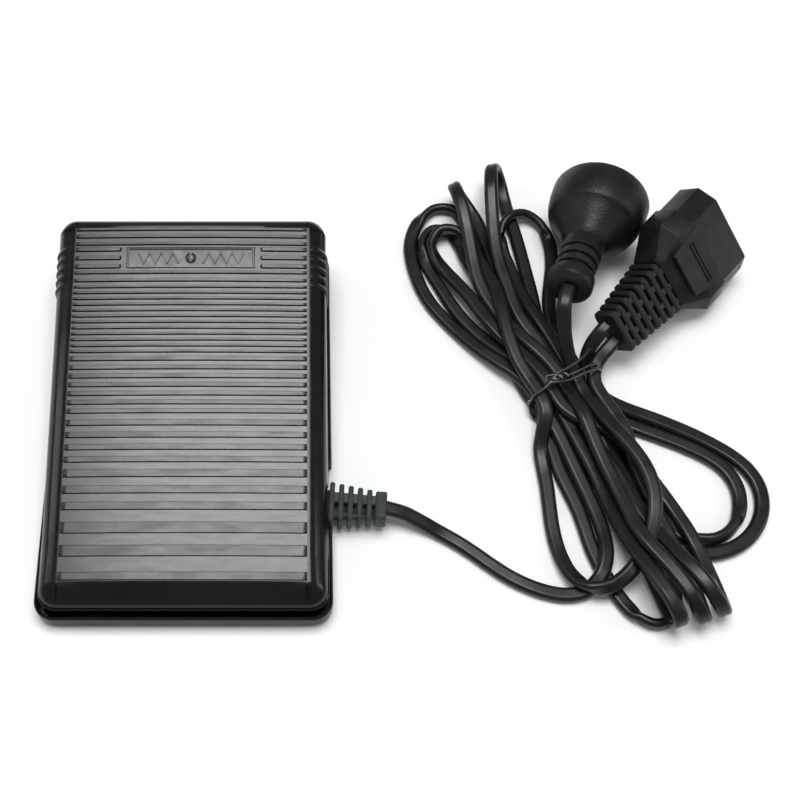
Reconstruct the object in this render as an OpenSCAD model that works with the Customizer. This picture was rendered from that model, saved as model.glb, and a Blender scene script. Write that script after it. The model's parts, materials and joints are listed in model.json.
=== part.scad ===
// Foot pedal of a sewing machine: a wedge-shaped treadle that tips on a pin at its heel
// end, over a tray that holds the speed control. A flat twin lead runs to the machine's
// connector, and a second one from there to the mains plug. Both are tied in one bundle.
// Frame: X across the pedal (lead on +X), Y towards the high toe end, Z up,
// origin on the ground under the middle of the tray.

/* [Base tray] */
// Width of the tray across the pedal
base_w = 114; // [114:1:120]
// Length of the tray from heel to toe
base_l = 165; // [163:1:175]
// Height of the tray's rim above the ground
rim_z = 10.5; // [10:0.1:11]
// Radius of the tray's corners
base_corner_r = 8; // [8:0.5:9]

/* [Treadle cover] */
// Width of the cover at its lower lip
cover_w = 111; // [110:0.2:111]
// Length of the cover at its lower lip
cover_l = 158.5; // [157:0.5:160]
// Height of the tread at its heel end
heel_z = 18.5; // [18:0.5:20]
// Height of the tread at its toe end
toe_z = 42.5; // [42:0.5:46]
// Wall thickness of the cover
cover_t = 2.3; // [2:0.1:2.5]
// How far the tread bars stand above the tread
bar_rise = 0.7; // [0.4:0.1:1]

/* [Motion] */
// Full press of the treadle in degrees
press_deg = 4.3; // [3:0.1:4.3]
// Radius of the hinge pin
pin_r = 2; // [1.5:0.1:2.2]

/* [Leads] */
// Width of the flat twin lead
lead_w = 6; // [5:0.1:6.4]
// Thickness of the flat twin lead
lead_t = 4; // [3.4:0.1:4]

/* [Plug and connector] */
// Diameter of the plug's face
plug_d = 42; // [40:0.5:43]
// Length of the plug from its face to the end of its neck
plug_l = 56; // [54:1:58]
// Width of the connector at its shoulders
connector_w = 45; // [44:0.5:46]
// Height of the connector at its shoulders
connector_h = 23; // [22.5:0.5:24]
// Radius of the connector's sockets
socket_r = 1.6; // [1.4:0.1:1.8]

/* [Hidden] */
$fn = 48;

// tray
foot_h = 2;
foot_r = 7;
foot_x = 42;
foot_y = 67;
floor_z = 4.5;
rim_t = 1.2;
ring_w = 101;
ring_l = 147;
ring_t = 1.6;
ring_heel_z = 9.5;
ring_toe_z = 24;
recess_depth = 2.2;
recess_l = 29;
recess_slope = 26;

// tread plane and cover section
tread_heel_y = -70;
tread_toe_y = 72;
tread_run = tread_toe_y - tread_heel_y;
tread_tilt = atan((toe_z - heel_z) / tread_run);
lip_heel_z = 10.5;
lip_toe_z = 16;
lip_tilt = atan((lip_toe_z - lip_heel_z) / cover_l);
shoulder_drop = 8;
shoulder_side = 7;
shoulder_toe = 5;
wall_draft = 0.5;
cover_corner_r = 7;
tread_corner_r = 1.2;
function tread_z(y) = heel_z + (y - tread_heel_y) * tan(tread_tilt);

// tread bars: [distance of the first bar up the tread, count, pitch, bar width]
bar_rows = [[1.8, 1, 0, 3.2], [11.4, 2, 8.8, 4.4], [28.6, 3, 6.4, 3.2], [46.9, 4, 4.9, 2.5],
            [66.3, 7, 3.6, 2], [90.9, 12, 2.5, 1.2], [121.2, 2, 3.4, 1.4], [137.2, 3, 3.2, 1.5]];
bar_half_l = 47;
short_bar_s = 127.3;
short_bar_pitch = 3.7;
short_bar_w = 1.9;
short_bar_from = 28.2;
plate_w = 52;
plate_h = 9.2;
plate_s = 131;
plate_t = 0.8;
grip_y = 48.5;
grip_pitch = 3.8;
grip_count = 5;
grip_rise = 0.8;

// hinge
hinge_y = -66;
hinge_z = 11;
knuckle_r = 4.5;
knuckle_x = 32;
tray_boss_x = 40;
knuckle_w = 6;
run_gap = 0.05;
pin_l = 92;

// springs and stops
spring_x = 28;
spring_y = 52;
spring_r = 4.3;
wire_r = 0.6;
spring_turns = 7;
spring_top_z = 31;
buffer_x = 40;
buffer_y = 62;
buffer_r = 4;
stop_z = 26.5;
stop_gap = 0.3;
buffer_z = hinge_z + (stop_z - hinge_z) * cos(press_deg) - (buffer_y - hinge_y) * sin(press_deg) - stop_gap;
hook_x = 18;
hook_w = 8;
hook_z = 15.5;

// circuit board and what stands on it
board_z = 7.5;
board_t = 1.6;
board_w = 60;
board_l = 44;
board_y = 5;
board_top = board_z + board_t;
post_x = 26;
post_dy = 18;
screw_r = 1.25;
triac_at = [-18, 22];
capacitor_at = [14, -7];
choke_at = [-15, 3];
choke_r = 6.5;
trimmer_at = [21, 14];
control_y = 18;
control_w = 14;
control_h = 11;
plunger_r = 2.5;
choke_lift = 3.4;
plunger_z = 16.4;
plunger_top = 28.5;

// strain relief and what holds the lead inside
relief_y = -35.5;
relief_z = 9.5;
relief_yaw = -4;
relief_x = 56;
relief_l = 21.8;
rib_pitch = 4;
rib_t = 2.3;
rib_w0 = 15.3;
rib_w1 = 10.8;
rib_h0 = 11;
rib_h1 = 9;
rib_count = 5;
neck_w = 10;
neck_h = 6;
clamp_x = 38;
clamp_dy = 8;
terminal_x = 4;
terminal_y = -38;
terminal_pitch = 7;

// leads: points where each one lies free
lead_z = lead_t / 2;
exit_x = relief_x + relief_l * cos(relief_yaw);
exit_y = relief_y + relief_l * sin(relief_yaw);
pedal_lead_route = [[exit_x, exit_y, relief_z], [82, -37.8, 9], [88, -39.5, 7], [94, -42, 4],
                    [100, -45, lead_z], [107, -49, lead_z], [114, -54, lead_z], [121, -60, lead_z],
                    [129, -65, lead_z], [137, -68, lead_z], [145, -69.5, lead_z], [153, -69, lead_z]];
sides = 8;

// plug: rests on the edge of its face, with its neck held up by its lead
plug_lift = 10;
plug_turn = 22.5;
plug_face = [175.5, 102.2, plug_d / 2 * cos(plug_lift) + 0.1];
plug_bell_l = 18;
plug_neck_r = 8.6;
plug_groove_r = 7.2;
plug_flange_r = 9.6;
groove_w = 1.7;
groove_pitch = 4.95;
blade_w = 6.35;
blade_t = 1.6;
blade_l = 17;
blade_offset = 7.9;
function plug_point(d) = plug_face + d * [-sin(plug_turn) * cos(plug_lift),
                                          -cos(plug_turn) * cos(plug_lift), sin(plug_lift)];
plug_lead_route = [plug_point(plug_l), plug_point(plug_l + 5), [152.9, 39.5, 29.5], [153.6, 34.5, 24.5],
                   [154.6, 30, 18], [155.5, 27, 11]];

// connector: nose, shoulders and ribbed boot along one level axis. It lies rolled over, on the
// sloping lower right edge of its shoulders.
connector_turn = 47;
connector_roll = 42;
edge_w = 6.5;
edge_h = edge_w * tan(connector_roll);
connector_end = [173.5, 36.2, (connector_w / 2 - edge_w) * sin(connector_roll)
                              + connector_h / 2 * cos(connector_roll) + 0.1];
boot_l = 32;
boot_w0 = 20;
boot_w1 = 25;
boot_h0 = 11.5;
boot_h1 = 15.5;
taper_l = 11;
shoulder_l = 11.4;
nose_l = 16.6;
nose_w = 43;
nose_h = 22;
socket_depth = 12;
socket_pitch = 9;
sleeve_t = 0.6;
shoulder_at = boot_l + taper_l;
nose_at = shoulder_at + shoulder_l;
mouth_at = nose_at + nose_l;
lead_gap = 8;
tie_at = [153.5, 17.5, 7.9];
tie_turn = 23.5;
tie_w = 30;
tie_h = 15.6;
tie_wire = 1.2;
bundle_h = 14;

// One stadium or softly cornered bar, flat on XY
module flat_bar(length, width, corner) {
    inner_l = length - 2 * corner;
    square([inner_l, width], center = true);
    if (width > 2 * corner) square([length, width - 2 * corner], center = true);
    for (x = [-1, 1], y = [-1, 1])
        translate([x * inner_l / 2, y * (width / 2 - corner)]) circle(r = corner);
}

// A block with round vertical corners, standing on XY
module round_block(w, l, h, r) {
    linear_extrude(h) flat_bar(w, l, r);
}

// Plane of the tread, with its origin at the heel edge
module on_tread() {
    translate([0, tread_heel_y, heel_z]) rotate([tread_tilt, 0, 0]) children();
}

// The solid wedge of the cover, drawn in by `inset` on every side and by `drop` at the top
module cover_wedge(inset, drop, foot_drop) {
    half_w = cover_w / 2 - inset;
    half_l = cover_l / 2 - inset;
    hull() {
        for (x = [-1, 1], y = [-1, 1]) {
            corner_r = cover_corner_r - inset / 2;
            lip_z = (y > 0 ? lip_toe_z : lip_heel_z) - foot_drop;
            translate([x * (half_w - corner_r), y * (half_l - corner_r), lip_z])
                rotate([lip_tilt, 0, 0]) cylinder(r = corner_r, h = 0.02, $fn = 32);
        }
        for (a = [0 : 15 : 90], x = [-1, 1], y = [-1, 1]) {
            f = 1 - cos(a);
            r = cover_corner_r - inset / 2 + (tread_corner_r - cover_corner_r) * f;
            end_inset = wall_draft + (y > 0 ? shoulder_toe : shoulder_side) * f;
            px = half_w - wall_draft - shoulder_side * f - r;
            py = y * (half_l - end_inset - r);
            translate([x * px, py, tread_z(py) - drop - (shoulder_drop - drop) * (1 - sin(a))])
                rotate([tread_tilt, 0, 0]) cylinder(r = r, h = 0.02, $fn = 32);
        }
    }
}

module tread_bars() {
    depth = 0.5;
    for (row = bar_rows, i = [0 : row[1] - 1])
        on_tread() translate([0, row[0] + i * row[2], -depth])
            linear_extrude(depth + bar_rise) flat_bar(2 * bar_half_l, row[3], min(row[3] / 2, 0.8));
    short_l = bar_half_l - short_bar_from;
    for (x = [-1, 1], i = [0 : 2])
        on_tread() translate([x * (short_bar_from + short_l / 2), short_bar_s + i * short_bar_pitch, -depth])
            linear_extrude(depth + bar_rise) flat_bar(short_l, short_bar_w, short_bar_w / 2);
}

// Saw-tooth grip ribs that wrap both side walls near the toe
module grip_ribs() {
    rib_l = 2.6;
    intersection() {
        cover_wedge(-grip_rise, 0.4, 0);
        for (x = [-1, 1], i = [0 : grip_count - 1])
            translate([x * (cover_w / 2 - 1), grip_y + i * grip_pitch, lip_toe_z + 14])
                cube([4, rib_l, 18], center = true);
    }
}

module hinge_knuckle() {
    rotate([0, 90, 0]) cylinder(r = knuckle_r, h = knuckle_w, center = true);
    translate([-knuckle_w / 2, -knuckle_r, 0]) cube([knuckle_w, 2 * knuckle_r, 6.5]);
}

// A round post that hangs under the cover from height z
module cover_post(x, y, z, r) {
    translate([x, y, z]) cylinder(r = r, h = tread_z(y) - 1 - z);
}

module cover_hook() {
    arm_t = 2;
    arm_y = ring_l / 2 - ring_t - 1.8 - arm_t;
    top_z = tread_z(arm_y) - 1;
    translate([-hook_w / 2, arm_y, hook_z]) cube([hook_w, arm_t, top_z - hook_z]);
    translate([-hook_w / 2, arm_y, hook_z]) cube([hook_w, arm_t + 3.1, 2]);
}

module treadle_cover() {
    color("#17181a") difference() {
        union() {
            difference() {
                cover_wedge(0, 0, 0);
                cover_wedge(cover_t, cover_t, 3);
            }
            tread_bars();
            grip_ribs();
            for (x = [-knuckle_x, knuckle_x]) translate([x, hinge_y, hinge_z]) hinge_knuckle();
            for (x = [-spring_x, spring_x]) {
                cover_post(x, spring_y, spring_top_z, spring_r + 2);
                cover_post(x, spring_y, spring_top_z - 4, spring_r - wire_r - 0.6);
            }
            for (x = [-buffer_x, buffer_x]) cover_post(x, buffer_y, stop_z, 3);
            cover_post(0, control_y, plunger_top + 0.3, 2);
            for (x = [-hook_x, hook_x]) translate([x, 0, 0]) cover_hook();
        }
        for (x = [-knuckle_x, knuckle_x])
            translate([x, hinge_y, hinge_z]) rotate([0, 90, 0])
                cylinder(r = pin_r + run_gap, h = knuckle_w + 2, center = true);
        notch_w = neck_w + 1.6;
        translate([cover_w / 2 - 5, relief_y - notch_w / 2, relief_z - 10]) cube([10, notch_w, 16.2]);
        on_tread() translate([0, plate_s, -plate_t]) linear_extrude(3) flat_bar(plate_w, plate_h, 0.8);
        on_tread() translate([0, plate_s, -6]) cylinder(r = 1.3, h = 8);
    }
}

module name_plate() {
    gap = 0.1;
    frame_t = 0.9;
    color("#3b3d40") on_tread() translate([0, plate_s, -plate_t]) difference() {
        union() {
            linear_extrude(plate_t + 0.1) flat_bar(plate_w - 2 * gap, plate_h - 2 * gap, 0.8);
            linear_extrude(plate_t + 0.5) difference() {
                flat_bar(plate_w - 2 * gap, plate_h - 2 * gap, 0.8);
                flat_bar(plate_w - 2 * gap - 2 * frame_t, plate_h - 2 * gap - 2 * frame_t, 0.4);
            }
        }
        translate([0, 0, -1]) cylinder(r = 1.3, h = 4);
    }
}

module plate_screw() {
    head_r = 2.2;
    color("#2a2b2d") on_tread() translate([0, plate_s, 0.15]) difference() {
        union() {
            cylinder(r = head_r, h = 0.9);
            translate([0, 0, -5]) cylinder(r = 1.2, h = 5.5);
        }
        translate([-0.35, -head_r, 0.5]) cube([0.7, 2 * head_r, 1]);
    }
}

// Wall of the tray that stands inside the cover, its top sloping up to the toe
module inner_ring() {
    difference() {
        translate([0, 0, foot_h + 1]) linear_extrude(ring_toe_z - foot_h - 1)
            difference() {
                flat_bar(ring_w, ring_l, 4);
                flat_bar(ring_w - 2 * ring_t, ring_l - 2 * ring_t, 2.5);
            }
        rise = atan((ring_toe_z - ring_heel_z) / ring_l);
        translate([-base_w, -ring_l / 2, ring_heel_z]) rotate([rise, 0, 0])
            cube([2 * base_w, 2 * ring_l, 40]);
    }
}

module tray_shell() {
    difference() {
        translate([0, 0, foot_h]) round_block(base_w, base_l, rim_z - foot_h, base_corner_r);
        translate([0, 0, floor_z])
            round_block(base_w - 2 * rim_t, base_l - 2 * rim_t, 20, base_corner_r - rim_t);
    }
}

// Recess in the tray's right side that leaves room for the strain relief
module relief_recess() {
    translate([base_w / 2 - recess_depth, relief_y - recess_l / 2 + 0.5, 0]) {
        cube([10, recess_l, 40]);
        linear_extrude(40) polygon([[0, 0], [0, -0.1], [10, -recess_slope], [10, 0]]);
    }
}

module tray_posts() {
    for (x = [-post_x, post_x], y = [board_y - post_dy, board_y + post_dy])
        translate([x, y, foot_h + 1]) cylinder(r = 3.2, h = board_z - foot_h - 1);
    for (x = [-spring_x, spring_x])
        translate([x, spring_y, foot_h + 1]) cylinder(r = spring_r - wire_r - 0.7, h = 11);
    for (y = [relief_y - clamp_dy, relief_y + clamp_dy])
        translate([clamp_x, y, foot_h + 1]) cylinder(r = 3, h = relief_z - lead_t / 2 - foot_h - 1);
    for (x = [-tray_boss_x, tray_boss_x]) translate([x, hinge_y, 0]) {
        translate([0, 0, hinge_z]) rotate([0, 90, 0])
            cylinder(r = knuckle_r, h = knuckle_w, center = true);
        translate([-knuckle_w / 2, -knuckle_r, foot_h + 1])
            cube([knuckle_w, 2 * knuckle_r, hinge_z - foot_h - 1]);
    }
}

module base_tray() {
    color("#1b1c1e") difference() {
        union() {
            tray_shell();
            inner_ring();
            tray_posts();
        }
        relief_recess();
        translate([ring_w / 2 - 5, relief_y - neck_w / 2 - 0.1, relief_z - neck_h / 2 - 0.1])
            cube([10, neck_w + 0.2, 30]);
        for (x = [-hook_x, hook_x])
            translate([x - hook_w / 2 - 0.5, ring_l / 2 - 5, floor_z]) cube([hook_w + 1, 10, 13.3]);
        for (x = [-post_x, post_x], y = [board_y - post_dy, board_y + post_dy])
            translate([x, y, floor_z]) cylinder(r = screw_r + 0.05, h = 20);
        for (y = [relief_y - clamp_dy, relief_y + clamp_dy])
            translate([clamp_x, y, floor_z]) cylinder(r = screw_r + 0.05, h = 20);
        for (x = [-tray_boss_x, tray_boss_x])
            translate([x, hinge_y, hinge_z]) rotate([0, 90, 0])
                cylinder(r = pin_r, h = knuckle_w + 2, center = true);
    }
}

module rubber_feet() {
    color("#2b2b2b") for (x = [-foot_x, foot_x], y = [-foot_y, foot_y])
        translate([x, y, 0]) difference() {
            cylinder(r = foot_r, h = foot_h);
            translate([0, 0, -0.1]) cylinder(r = 2.5, h = 1);
        }
}

module hinge_pin() {
    color("#b9bcc0") translate([0, hinge_y, hinge_z]) rotate([0, 90, 0])
        cylinder(r = pin_r, h = pin_l, center = true);
}

function unit(v) = v / norm(v);
function tangent(p, i) = unit(p[min(i + 1, len(p) - 1)] - p[max(i - 1, 0)]);
function level_side(t) = unit([-t[1], t[0], 0]);
function ring_points(p, i, a, b) =
    let(t = tangent(p, i), s = level_side(t), n = cross(t, s))
    [for (k = [0 : sides - 1]) p[i] + a * cos(360 * k / sides) * s + b * sin(360 * k / sides) * n];

// A closed tube of half-width a and half-thickness b along the points of a path
module swept_tube(path, a, b) {
    n = sides;
    last = (len(path) - 1) * n;
    polyhedron(
        points = [for (i = [0 : len(path) - 1]) each ring_points(path, i, a, b)],
        faces = concat(
            [[for (k = [0 : n - 1]) k]],
            [[for (k = [n - 1 : -1 : 0]) last + k]],
            [for (i = [0 : len(path) - 2], k = [0 : n - 1])
                [i * n + k, (i + 1) * n + k, (i + 1) * n + (k + 1) % n]],
            [for (i = [0 : len(path) - 2], k = [0 : n - 1])
                [i * n + k, (i + 1) * n + (k + 1) % n, i * n + (k + 1) % n]]));
}

function helix(r, turns, z0, z1, steps) =
    [for (i = [0 : turns * steps])
        [r * cos(360 * i / steps), r * sin(360 * i / steps), z0 + (z1 - z0) * i / (turns * steps)]];

module return_springs() {
    lift = wire_r + 0.1;
    color("#c9ccd0") for (x = [-spring_x, spring_x]) translate([x, spring_y, 0])
        swept_tube(helix(spring_r, spring_turns, floor_z + lift, spring_top_z - lift, 10), wire_r, wire_r);
}

module stop_buffers() {
    color("#303030") for (x = [-buffer_x, buffer_x])
        translate([x, buffer_y, floor_z]) cylinder(r = buffer_r, h = buffer_z - floor_z);
}

module board_holes(r) {
    for (x = [-post_x, post_x], y = [-post_dy, post_dy])
        translate([x, board_y + y, 0]) cylinder(r = r, h = 40);
}

module insulating_sheet() {
    color("#d9d2bd") difference() {
        translate([-33, board_y - 25, floor_z]) cube([66, 50, 0.5]);
        board_holes(3.6);
    }
}

module circuit_board() {
    color("#7a5a2c") difference() {
        translate([-board_w / 2, board_y - board_l / 2, board_z]) cube([board_w, board_l, board_t]);
        board_holes(screw_r + 0.35);
    }
}

// Small pan-head screw with its head's underside at z = 0
module pan_screw(length) {
    difference() {
        union() {
            cylinder(r = 2.6, h = 1.6);
            translate([0, 0, -length]) cylinder(r = screw_r, h = length + 0.1);
        }
        translate([-2.6, -0.35, 1]) cube([5.2, 0.7, 2]);
    }
}

module board_screws() {
    color("#c4c7cb") for (x = [-post_x, post_x], y = [-post_dy, post_dy])
        translate([x, board_y + y, board_top]) pan_screw(4.4);
}

module control_housing() {
    color("#efe9da") translate([0, control_y, board_top]) difference() {
        translate([-control_w / 2, -6, 0]) cube([control_w, 12, control_h]);
        translate([0, 0, 0.8]) cylinder(r = plunger_r + run_gap, h = control_h);
        translate([-1.4, -7, 0.8]) cube([2.8, 7, control_h]);
    }
}

module resistor_track() {
    color("#3a2f2a") for (x = [-4.2, 1.8])
        translate([x, control_y - 6.8, board_top + 0.8]) cube([2.4, 0.8, control_h - 1.6]);
}

module plunger() {
    color("#e8e2d2") translate([0, control_y, 0]) {
        translate([0, 0, plunger_z]) cylinder(r = plunger_r, h = plunger_top - 1.4 - plunger_z);
        translate([0, 0, plunger_top - 1.5]) cylinder(r = 4.4, h = 1.5);
    }
}

// Brass finger on the plunger that bridges the two tracks
module wiper_contact() {
    color("#caa24a") translate([0, control_y, plunger_z + 0.5]) {
        translate([-1.1, -7.6, 0]) cube([2.2, 7.6 - plunger_r, 1.4]);
        translate([-4, -7.7, 0]) cube([8, 0.7, 1.4]);
    }
}

module triac() {
    color("#26272a") translate([triac_at[0], triac_at[1], board_top]) {
        translate([-5, 0, 3]) cube([10, 4.4, 9]);
        for (x = [-2.54, 0, 2.54]) translate([x - 0.4, 2, 0]) cube([0.8, 0.5, 3.1]);
    }
}

module heat_sink() {
    tab_y = triac_at[1] + 4.5;
    color("#a9adb1") translate([triac_at[0], tab_y, board_top]) difference() {
        translate([-9, -0.1, 0]) cube([18, 1.5, 12.5]);
        for (x = [-6 : 3 : 6]) translate([x - 0.5, 0.8, -1]) cube([1, 2, 20]);
    }
}

module capacitor() {
    color("#b5502c") translate([capacitor_at[0], capacitor_at[1], board_top])
        round_block(18, 8, 9.5, 1);
}

module choke_core() {
    color("#4d5a46") translate([choke_at[0], choke_at[1], board_top + choke_lift])
        rotate_extrude() translate([choke_r, 0]) circle(r = 2.2);
}

module choke_winding() {
    coils = 14;
    color("#b4652f") translate([choke_at[0], choke_at[1], board_top + choke_lift])
        for (i = [0 : coils - 1]) rotate([0, 0, i * 300 / coils]) translate([choke_r, 0, 0])
            rotate([90, 0, 0]) rotate_extrude() translate([2.75, 0]) circle(r = 0.5, $fn = 24);
}

module fixed_resistors() {
    color("#c7a672") for (x = [8, 13, 18]) translate([x, 3, board_top + 1.3]) {
        rotate([90, 0, 0]) cylinder(r = 1.3, h = 6.5, center = true);
    }
}

module trim_resistor() {
    color("#2f5f9e") translate([trimmer_at[0], trimmer_at[1], board_top]) difference() {
        translate([-3.5, -3.5, 0]) cube([7, 7, 4.5]);
        translate([-2.2, -0.4, 3.9]) cube([4.4, 0.8, 1]);
    }
}

module terminal_block() {
    color("#e9e6da") translate([terminal_x, terminal_y, floor_z]) difference() {
        translate([-12, -5, 0]) cube([24, 10, 9]);
        for (i = [-1, 0, 1]) translate([i * terminal_pitch, 0, 0]) {
            translate([0, 0, 3]) cylinder(r = 1.9, h = 10);
            translate([0, 0, 3.4]) rotate([90, 0, 0]) cylinder(r = 1.5, h = 12, center = true);
        }
    }
}

module terminal_screws() {
    color("#c9b77a") for (i = [-1, 0, 1])
        translate([terminal_x + i * terminal_pitch, terminal_y, floor_z + 5.2]) difference() {
            cylinder(r = 1.8, h = 3);
            translate([-2, -0.3, 2.3]) cube([4, 0.6, 1]);
        }
}

module cord_clamp() {
    color("#34363a") difference() {
        translate([clamp_x - 3.5, relief_y - clamp_dy - 4, relief_z + lead_t / 2])
            cube([7, 2 * clamp_dy + 8, 2.4]);
        for (y = [-clamp_dy, clamp_dy]) translate([clamp_x, relief_y + y, 0])
            cylinder(r = screw_r + 0.3, h = 30);
    }
}

module clamp_screws() {
    color("#c4c7cb") for (y = [-clamp_dy, clamp_dy])
        translate([clamp_x, relief_y + y, relief_z + lead_t / 2 + 2.4]) pan_screw(8);
}

// The two insulated cores, from the relief's head under the clamp to the terminals
module core_wires() {
    r = 1.1;
    head_x = ring_w / 2 - ring_t - 2.8;
    for (i = [-1, 1]) {
        core_y = relief_y + 1.4 * i;
        end = [terminal_x + terminal_pitch * (i > 0 ? 0 : 1), terminal_y, floor_z + 3.4];
        away = i > 0 ? 12 : -12;
        color(i > 0 ? "#5b3a26" : "#3d63a8")
            swept_tube([[head_x, core_y, relief_z], [44, core_y, relief_z], [38, core_y, relief_z],
                        [32, core_y + 2 * i, relief_z - 0.5], [26, core_y + 6 * i, 8.6],
                        [end[0] + 7, end[1] + away + i * 2, end[2]], [end[0] + 1, end[1] + away, end[2]],
                        [end[0], end[1] + away / 1.5, end[2]], [end[0], end[1] + 2.4 * i, end[2]]], r, r);
    }
}

// Ladder-type relief: rib plates on a core, joined by a bridge along the top
module strain_relief() {
    color("#2a2f2f") {
        head_x = ring_w / 2 - ring_t - 0.2;
        translate([head_x - 2.5, relief_y - 7, relief_z - 4.7]) cube([2.5, 14, 9.4]);
        translate([head_x - 0.1, relief_y - neck_w / 2, relief_z - neck_h / 2])
            cube([relief_x - head_x + 0.6, neck_w, neck_h]);
        translate([relief_x, relief_y, relief_z]) rotate([0, 0, relief_yaw]) {
            for (i = [0 : rib_count]) {
                f = i / rib_count;
                t = i == rib_count ? relief_l - rib_count * rib_pitch : rib_t;
                w = rib_w0 + (rib_w1 - rib_w0) * f;
                h = rib_h0 + (rib_h1 - rib_h0) * f;
                translate([i * rib_pitch, 0, 0]) rotate([90, 0, 90])
                    linear_extrude(t) flat_bar(w, h, 1.2);
            }
            translate([0, -3.6, -2.7]) cube([relief_l - 0.5, 7.2, 5.4]);
            translate([0, 0.4, 0]) cube([relief_l - 0.5, 3.6, rib_h1 / 2 - 0.1]);
        }
    }
}

// Places its children at the connector, +X running from the cable end to the mouth
module at_connector() {
    translate(connector_end) rotate([0, 0, connector_turn]) rotate([connector_roll, 0, 0]) children();
}

// A point `d` along the connector's axis from its cable end and `side` to its left
function at_connector_point(d, side) = connector_end + [
    d * cos(connector_turn) - side * cos(connector_roll) * sin(connector_turn),
    d * sin(connector_turn) + side * cos(connector_roll) * cos(connector_turn),
    side * sin(connector_roll)];

boot_stub = [at_connector_point(0, lead_gap / 2), at_connector_point(0, -lead_gap / 2)];
boot_stub_steps = [[0, 0, 0], [3.5, 2.5, 2.5], [7, 4, 6.5], [9.5, 4.5, 10.5]];

module pedal_lead() {
    color("#1d1e20") {
        swept_tube(pedal_lead_route, lead_w / 2, lead_t / 2);
        swept_tube([for (d = boot_stub_steps) boot_stub[1] - d], lead_w / 2, lead_t / 2);
    }
}

module mains_lead() {
    color("#1d1e20") {
        swept_tube(plug_lead_route, lead_w / 2, lead_t / 2);
        swept_tube([for (d = boot_stub_steps) boot_stub[0] - d], lead_w / 2, lead_t / 2);
    }
}

// Flat-lying hull of round corners at the given points, `bundle_h` tall
module loop_fan(points) {
    linear_extrude(bundle_h) hull() for (p = points) translate(p) circle(r = 5, $fn = 24);
}

// Outer shape of the tied bundle: a fan of loops on each side of the tie, and the ends
// that come in from the connector
module lead_bundle() {
    waist = [[144, 13.5], [163, 21.5]];
    color("#1d1e20") difference() {
        union() {
            loop_fan([waist[1], [166, 31], [157, 33]]);
            loop_fan(concat(waist, [[97, 84], [108, 104], [121, 118], [136, 128], [145, 104], [147, 70]]));
            loop_fan(concat(waist, [[149, -20], [149, -62], [168, -78], [186, -83], [205, -78],
                                    [226, -36], [221, -19], [200, -1]]));
        }
        translate([tie_at[0], tie_at[1], 0]) rotate([0, 0, tie_turn])
            cube([50, tie_wire + 0.2, 3], center = true);
    }
}

// Wire tie round the waist of the bundle, with its ends twisted together on top
module twist_tie() {
    color("#111214") translate(tie_at) rotate([0, 0, tie_turn]) {
        rotate([90, 0, 0]) linear_extrude(tie_wire, center = true) difference() {
            flat_bar(tie_w + 2 * tie_wire, tie_h, 3);
            flat_bar(tie_w, tie_h - 2 * tie_wire, 3 - tie_wire);
        }
        translate([0, 0, tie_h / 2 + 0.3]) sphere(r = 1.5);
        translate([0, 0, tie_h / 2 + 0.3]) rotate([0, 90, 12]) cylinder(r = 0.6, h = 15);
    }
}

// Places its children at the plug, +Z running from its face towards its cable and its
// blades level with each other
module at_plug() {
    translate(plug_face) rotate([0, 0, -plug_turn]) rotate([90 - plug_lift, 0, 0]) children();
}

module mains_plug() {
    r = plug_d / 2;
    flange_l = 6.5;
    first_groove = 36.5;
    color("#1e1f21") at_plug() rotate_extrude() {
        polygon([[0, 0], [r - 1, 0], [r, 1], [r, 5], [r - 0.7, 12], [r - 2.5, plug_bell_l], [r - 7.3, 23],
                 [plug_neck_r + 1.4, 28.5], [plug_neck_r, 30.5], [plug_neck_r, first_groove],
                 [0, first_groove]]);
        for (i = [0 : 2]) translate([0, first_groove + i * groove_pitch]) {
            square([plug_groove_r, groove_w]);
            translate([0, groove_w]) square([plug_neck_r, groove_pitch - groove_w]);
        }
        translate([0, plug_l - flange_l]) square([plug_flange_r, flange_l]);
    }
}

// Two flat blades set in a V
module plug_blades() {
    color("#c7c9cc") at_plug() for (m = [0, 1]) mirror([m, 0, 0])
        translate([blade_offset, 0, -blade_l]) rotate([0, 0, 30])
            translate([-blade_t / 2, -blade_w / 2, 0]) cube([blade_t, blade_w, blade_l]);
}

// A bar of the connector's section along X, its four long edges cut off at a slope
module sloped_bar(from, length, w, h) {
    x = w / 2;
    y = h / 2;
    translate([from, 0, 0]) rotate([90, 0, 90]) linear_extrude(length)
        polygon([[x, y - edge_h], [x - edge_w, y], [edge_w - x, y], [-x, y - edge_h],
                 [-x, edge_h - y], [edge_w - x, -y], [x - edge_w, -y], [x, edge_h - y]]);
}

module connector_body() {
    w = connector_w / 2;
    h = connector_h / 2;
    neck_half_w = boot_w1 / 2 + 0.5;
    neck_half_h = boot_h1 / 2 + 0.5;
    color("#1e1f21") at_connector() difference() {
        union() {
            intersection() {
                sloped_bar(boot_l, taper_l + shoulder_l, connector_w, connector_h);
                linear_extrude(connector_h + 2, center = true)
                    polygon([[boot_l, -neck_half_w], [shoulder_at, -w], [nose_at, -w],
                             [nose_at, w], [shoulder_at, w], [boot_l, neck_half_w]]);
                rotate([90, 0, 0]) linear_extrude(connector_w + 2, center = true)
                    polygon([[boot_l, -neck_half_h], [shoulder_at, -h], [nose_at, -h],
                             [nose_at, h], [shoulder_at, h], [boot_l, neck_half_h]]);
            }
            sloped_bar(nose_at - 1, nose_l + 1, nose_w, nose_h);
        }
        for (i = [-1, 0, 1]) translate([mouth_at - socket_depth, i * socket_pitch, 0])
            rotate([0, 90, 0]) cylinder(r = socket_r + sleeve_t, h = socket_depth + 1);
    }
}

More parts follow.
